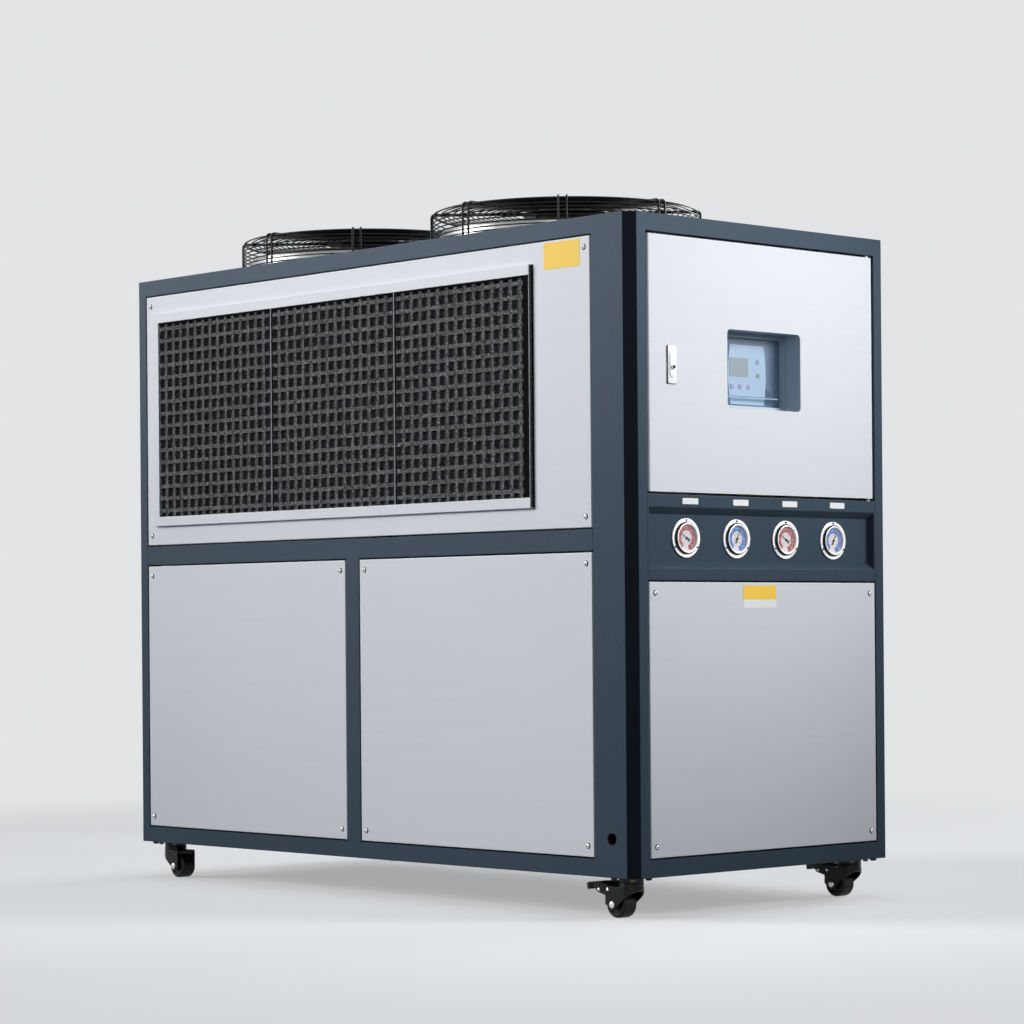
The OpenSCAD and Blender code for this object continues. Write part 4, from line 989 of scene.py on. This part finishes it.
BOARD_T, BOARD_EDGE, BOARD_CORNER = 2 * MM, 0.4 * MM, 4 * MM
DUCT, DUCT_LID_T, DUCT_LID_EDGE = 40 * MM, 4 * MM, 1 * MM
FINGER_W, FINGER_T, FINGER_PITCH, FINGER_IN = 6.5 * MM, 2 * MM, 10 * MM, 1.5 * MM
DEVICE_ROWS = (10, 7, 4)
DEVICE_D, DEVICE_STEP = 55 * MM, 15 * MM
DEVICE_W_SHARE, DEVICE_H_SHARE = 0.92, 0.76
# Finish, shares of a device's width, height and depth, depth share at which it starts, edge and corner
DEVICE_PARTS = {
    "gear_bodies": (DEVICE_GREY, (1.0, 1.0, 0.66), 0.0, 1.2 * MM, 1.5 * MM),
    "gear_noses": (FAN_PAINT, (0.96, 0.5, 0.26), 0.66, 0.8 * MM, 1.5 * MM),
    "gear_levers": (DIAL_BLUE, (0.3, 0.14, 0.08), 0.92, 1 * MM, 0.0),
}
TERMINAL = ((0, 0), (2.6, 0), (2.6, 1.2), (1.6, 1.6), (0, 1.2))
TERMINAL_ACROSS, TERMINAL_UP, TERMINAL_AT = 0.3, 0.38, 0.66


def dress_switchgear():
    """Mounting board with slotted ducts and three rows of devices."""
    low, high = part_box("switchgear")
    width, height = high.y - low.y, high.z - low.z
    run = width - 2 * DUCT
    row_h = (height - (len(DEVICE_ROWS) + 1) * DUCT) / len(DEVICE_ROWS)
    front = low.x + BOARD_T
    board = slab((width, height, BOARD_T), BOARD_EDGE, corner=BOARD_CORNER)
    piece("gear_board", placed(board, end_seat(low.x, 0, low.z + height / 2)), ZINC,
          replaces=["switchgear"])
    ducts, screws = bmesh.new(), bmesh.new()
    devices = {name: bmesh.new() for name in DEVICE_PARTS}
    lid = slab((run, DUCT, DUCT_LID_T), DUCT_LID_EDGE)
    finger = slab((FINGER_W, FINGER_T, DUCT - DUCT_LID_T))
    fingers = int(run / FINGER_PITCH)
    for i in range(len(DEVICE_ROWS) + 1):
        middle = low.z + i * (row_h + DUCT) + DUCT / 2
        add(ducts, lid, end_seat(front + DUCT - DUCT_LID_T, 0, middle))
        for k in range(fingers):
            along = (k - (fingers - 1) / 2) * FINGER_PITCH
            for side in (-1, 1):
                add(ducts, finger, end_seat(front, along, middle + side * (DUCT / 2 - FINGER_IN)))
    terminal = turned(TERMINAL, 8)
    for row, count in enumerate(DEVICE_ROWS):
        pitch = run / count
        wide, tall, deep = pitch * DEVICE_W_SHARE, row_h * DEVICE_H_SHARE, DEVICE_D + row * DEVICE_STEP
        middle = low.z + DUCT + row * (row_h + DUCT) + row_h / 2
        seats = [end_seat(front, -run / 2 + (i + 0.5) * pitch, middle) for i in range(count)]
        for name, (_, (w, h, d), start, edge, corner) in DEVICE_PARTS.items():
            part = slab((wide * w, tall * h, deep * d), edge, corner=corner)
            add(devices[name], part, *[seat @ shift(Z * deep * start) for seat in seats])
        spots = [(k * wide * TERMINAL_ACROSS, side * tall * TERMINAL_UP, deep * TERMINAL_AT)
                 for side in (-1, 1) for k in (-1, 0, 1)]
        add(screws, terminal, *[seat @ shift(spot) for seat in seats for spot in spots])
    piece("gear_ducts", ducts, DUCT_GREY)
    for name, shape in devices.items():
        piece(name, shape, DEVICE_PARTS[name][0])
    piece("gear_screws", screws, ZINC, smooth=35)


# Light, floor and camera

PALE = srgb(226, 228, 230)
FLOOR_R = 60.0
FLOOR_NEAR, FLOOR_FAR = 1.6, 4.0
FLOOR_TONE, FLOOR_TONE_HIGH = srgb(170, 172, 174), srgb(178, 180, 182)
FLOOR_FAR_TONE, FLOOR_BOUNCE = srgb(0, 0, 0), srgb(84, 86, 88)
FLOOR_LIFT = 0.5
WORLD_FILL = srgb(80, 83, 88)
LAMP_COLOR = (1.0, 0.99, 0.98)
# Place, aim, size, power in watts and spread in degrees
SOFTBOXES = {
    "front_softbox": ((-5.2, -5.2, 3.6), (0.68, -0.37, 1.05), (4.0, 3.4), 60.0, 44.0),
    "end_softbox": ((2.9, 1.5, 2.05), (0.79, -0.2, 1.1), (1.2, 1.2), 12.0, 58.0),
    "top_softbox": ((-0.2, 0.2, 4.6), (0.0, 0.0, 0.0), (4.5, 4.5), 60.0, 180.0),
    "rear_softbox": ((-0.3, 6.2, 3.2), (-0.2, 0.37, 0.9), (3.0, 2.4), 70.0, 90.0),
    "fill_softbox": ((4.6, -4.2, 2.4), (0.7, -0.25, 1.2), (2.5, 2.0), 4.2, 44.0),
}
EYE = (4.8282, -4.3900, 0.5579)
HEADING, ROLL = math.radians(47.37), math.radians(-0.454)
SENSOR, FOCAL, VIEW_END = 36.0, 107.42, 200.0
SHIFT_X, SHIFT_Y = -0.0009, 0.1099


def seen_directly(nodes):
    """1 for the eye, for reflections and through clear parts, 0 for light that bounces."""
    path = nodes.node("ShaderNodeLightPath").outputs
    seen = path["Is Camera Ray"]
    for kind in ("Is Glossy Ray", "Is Transmission Ray"):
        seen = nodes.reckon("MAXIMUM", seen, path[kind])
    return seen


def floor_finish():
    """Pale floor with the object's shadow, which runs out into the backdrop's tone."""
    finish = Finish("pale_floor", PALE, 0.7, specular=0.0, Emission_Color=PALE)
    cloud = finish.group(GRAIN, {"Grain": 60.0, "Cloud": 0.6})
    seen = seen_directly(finish)
    place = finish.node("ShaderNodeTexCoord").outputs["Object"]
    reach = finish.node("ShaderNodeVectorMath", {0: place}, operation="LENGTH").outputs["Value"]
    away = finish.node("ShaderNodeMapRange",
                       {"Value": reach, "From Min": FLOOR_NEAR, "From Max": FLOOR_FAR},
                       interpolation_type="SMOOTHSTEP").outputs["Result"]
    near = finish.between(cloud["Cloud"], FLOOR_TONE, FLOOR_TONE_HIGH)
    tone = finish.between(seen, FLOOR_BOUNCE, finish.between(away, near, FLOOR_FAR_TONE))
    glow = finish.reckon("MULTIPLY", finish.span(away, FLOOR_LIFT, 1.0), seen)
    return finish.surface(Base_Color=tone, Emission_Strength=glow)


def lay_floor():
    bm = bmesh.new()
    bmesh.ops.create_circle(bm, cap_ends=True, radius=FLOOR_R, segments=64)
    mesh = bpy.data.meshes.new("floor")
    bm.to_mesh(mesh)
    bm.free()
    mesh.materials.append(floor_finish())
    floor = bpy.data.objects.new("floor", mesh)
    link(floor)


def light_scene():
    """Soft lamps that the eye does not see, and a world that is pale to the eye and dim as a light."""
    for name, (place, aim, size, power, spread) in SOFTBOXES.items():
        lamp = bpy.data.lights.new(name, "AREA")
        lamp.shape = "RECTANGLE"
        lamp.size, lamp.size_y = size
        lamp.energy = power
        lamp.spread = math.radians(spread)
        lamp.color = LAMP_COLOR
        holder = bpy.data.objects.new(name, lamp)
        holder.location = place
        holder.rotation_euler = (Vector(aim) - Vector(place)).to_track_quat("-Z", "Y").to_euler()
        holder.visible_camera = False
        link(holder)
    world = bpy.data.worlds.new("studio")
    bpy.context.scene.world = world
    world.use_nodes = True
    studio = Nodes(world.node_tree)
    fill = studio.between(seen_directly(studio), WORLD_FILL, PALE)
    studio.put(world.node_tree.nodes["Background"], {"Color": fill})


def set_camera():
    """Level view on the corner between the filter side and the control end."""
    lens = bpy.data.cameras.new("view")
    lens.sensor_width = SENSOR
    lens.lens = FOCAL
    lens.shift_x, lens.shift_y = SHIFT_X, SHIFT_Y
    lens.clip_end = VIEW_END
    eye = bpy.data.objects.new("view", lens)
    eye.matrix_world = shift(EYE) @ turn_z(HEADING) @ Matrix.Rotation(math.pi / 2, 4, "X") @ turn_z(ROLL)
    link(eye)
    bpy.context.scene.camera = eye
    bpy.context.scene.view_settings.view_transform = "Standard"


dress_frame()
dress_panels()
fit_panel_screws()
fit_plates()
line_inlet()
dress_filters()
fit_gauges()
dress_fans()
dress_casters()
dress_door()
fit_display()
fit_latch()
fit_door_seal()
dress_switchgear()
for plain_node, plain_finish in (("deck", ZINC), ("electrical_box", ZINC), ("water_sockets", BRASS)):
    refinish(plain_node, plain_finish)
lay_floor()
light_scene()
set_camera()
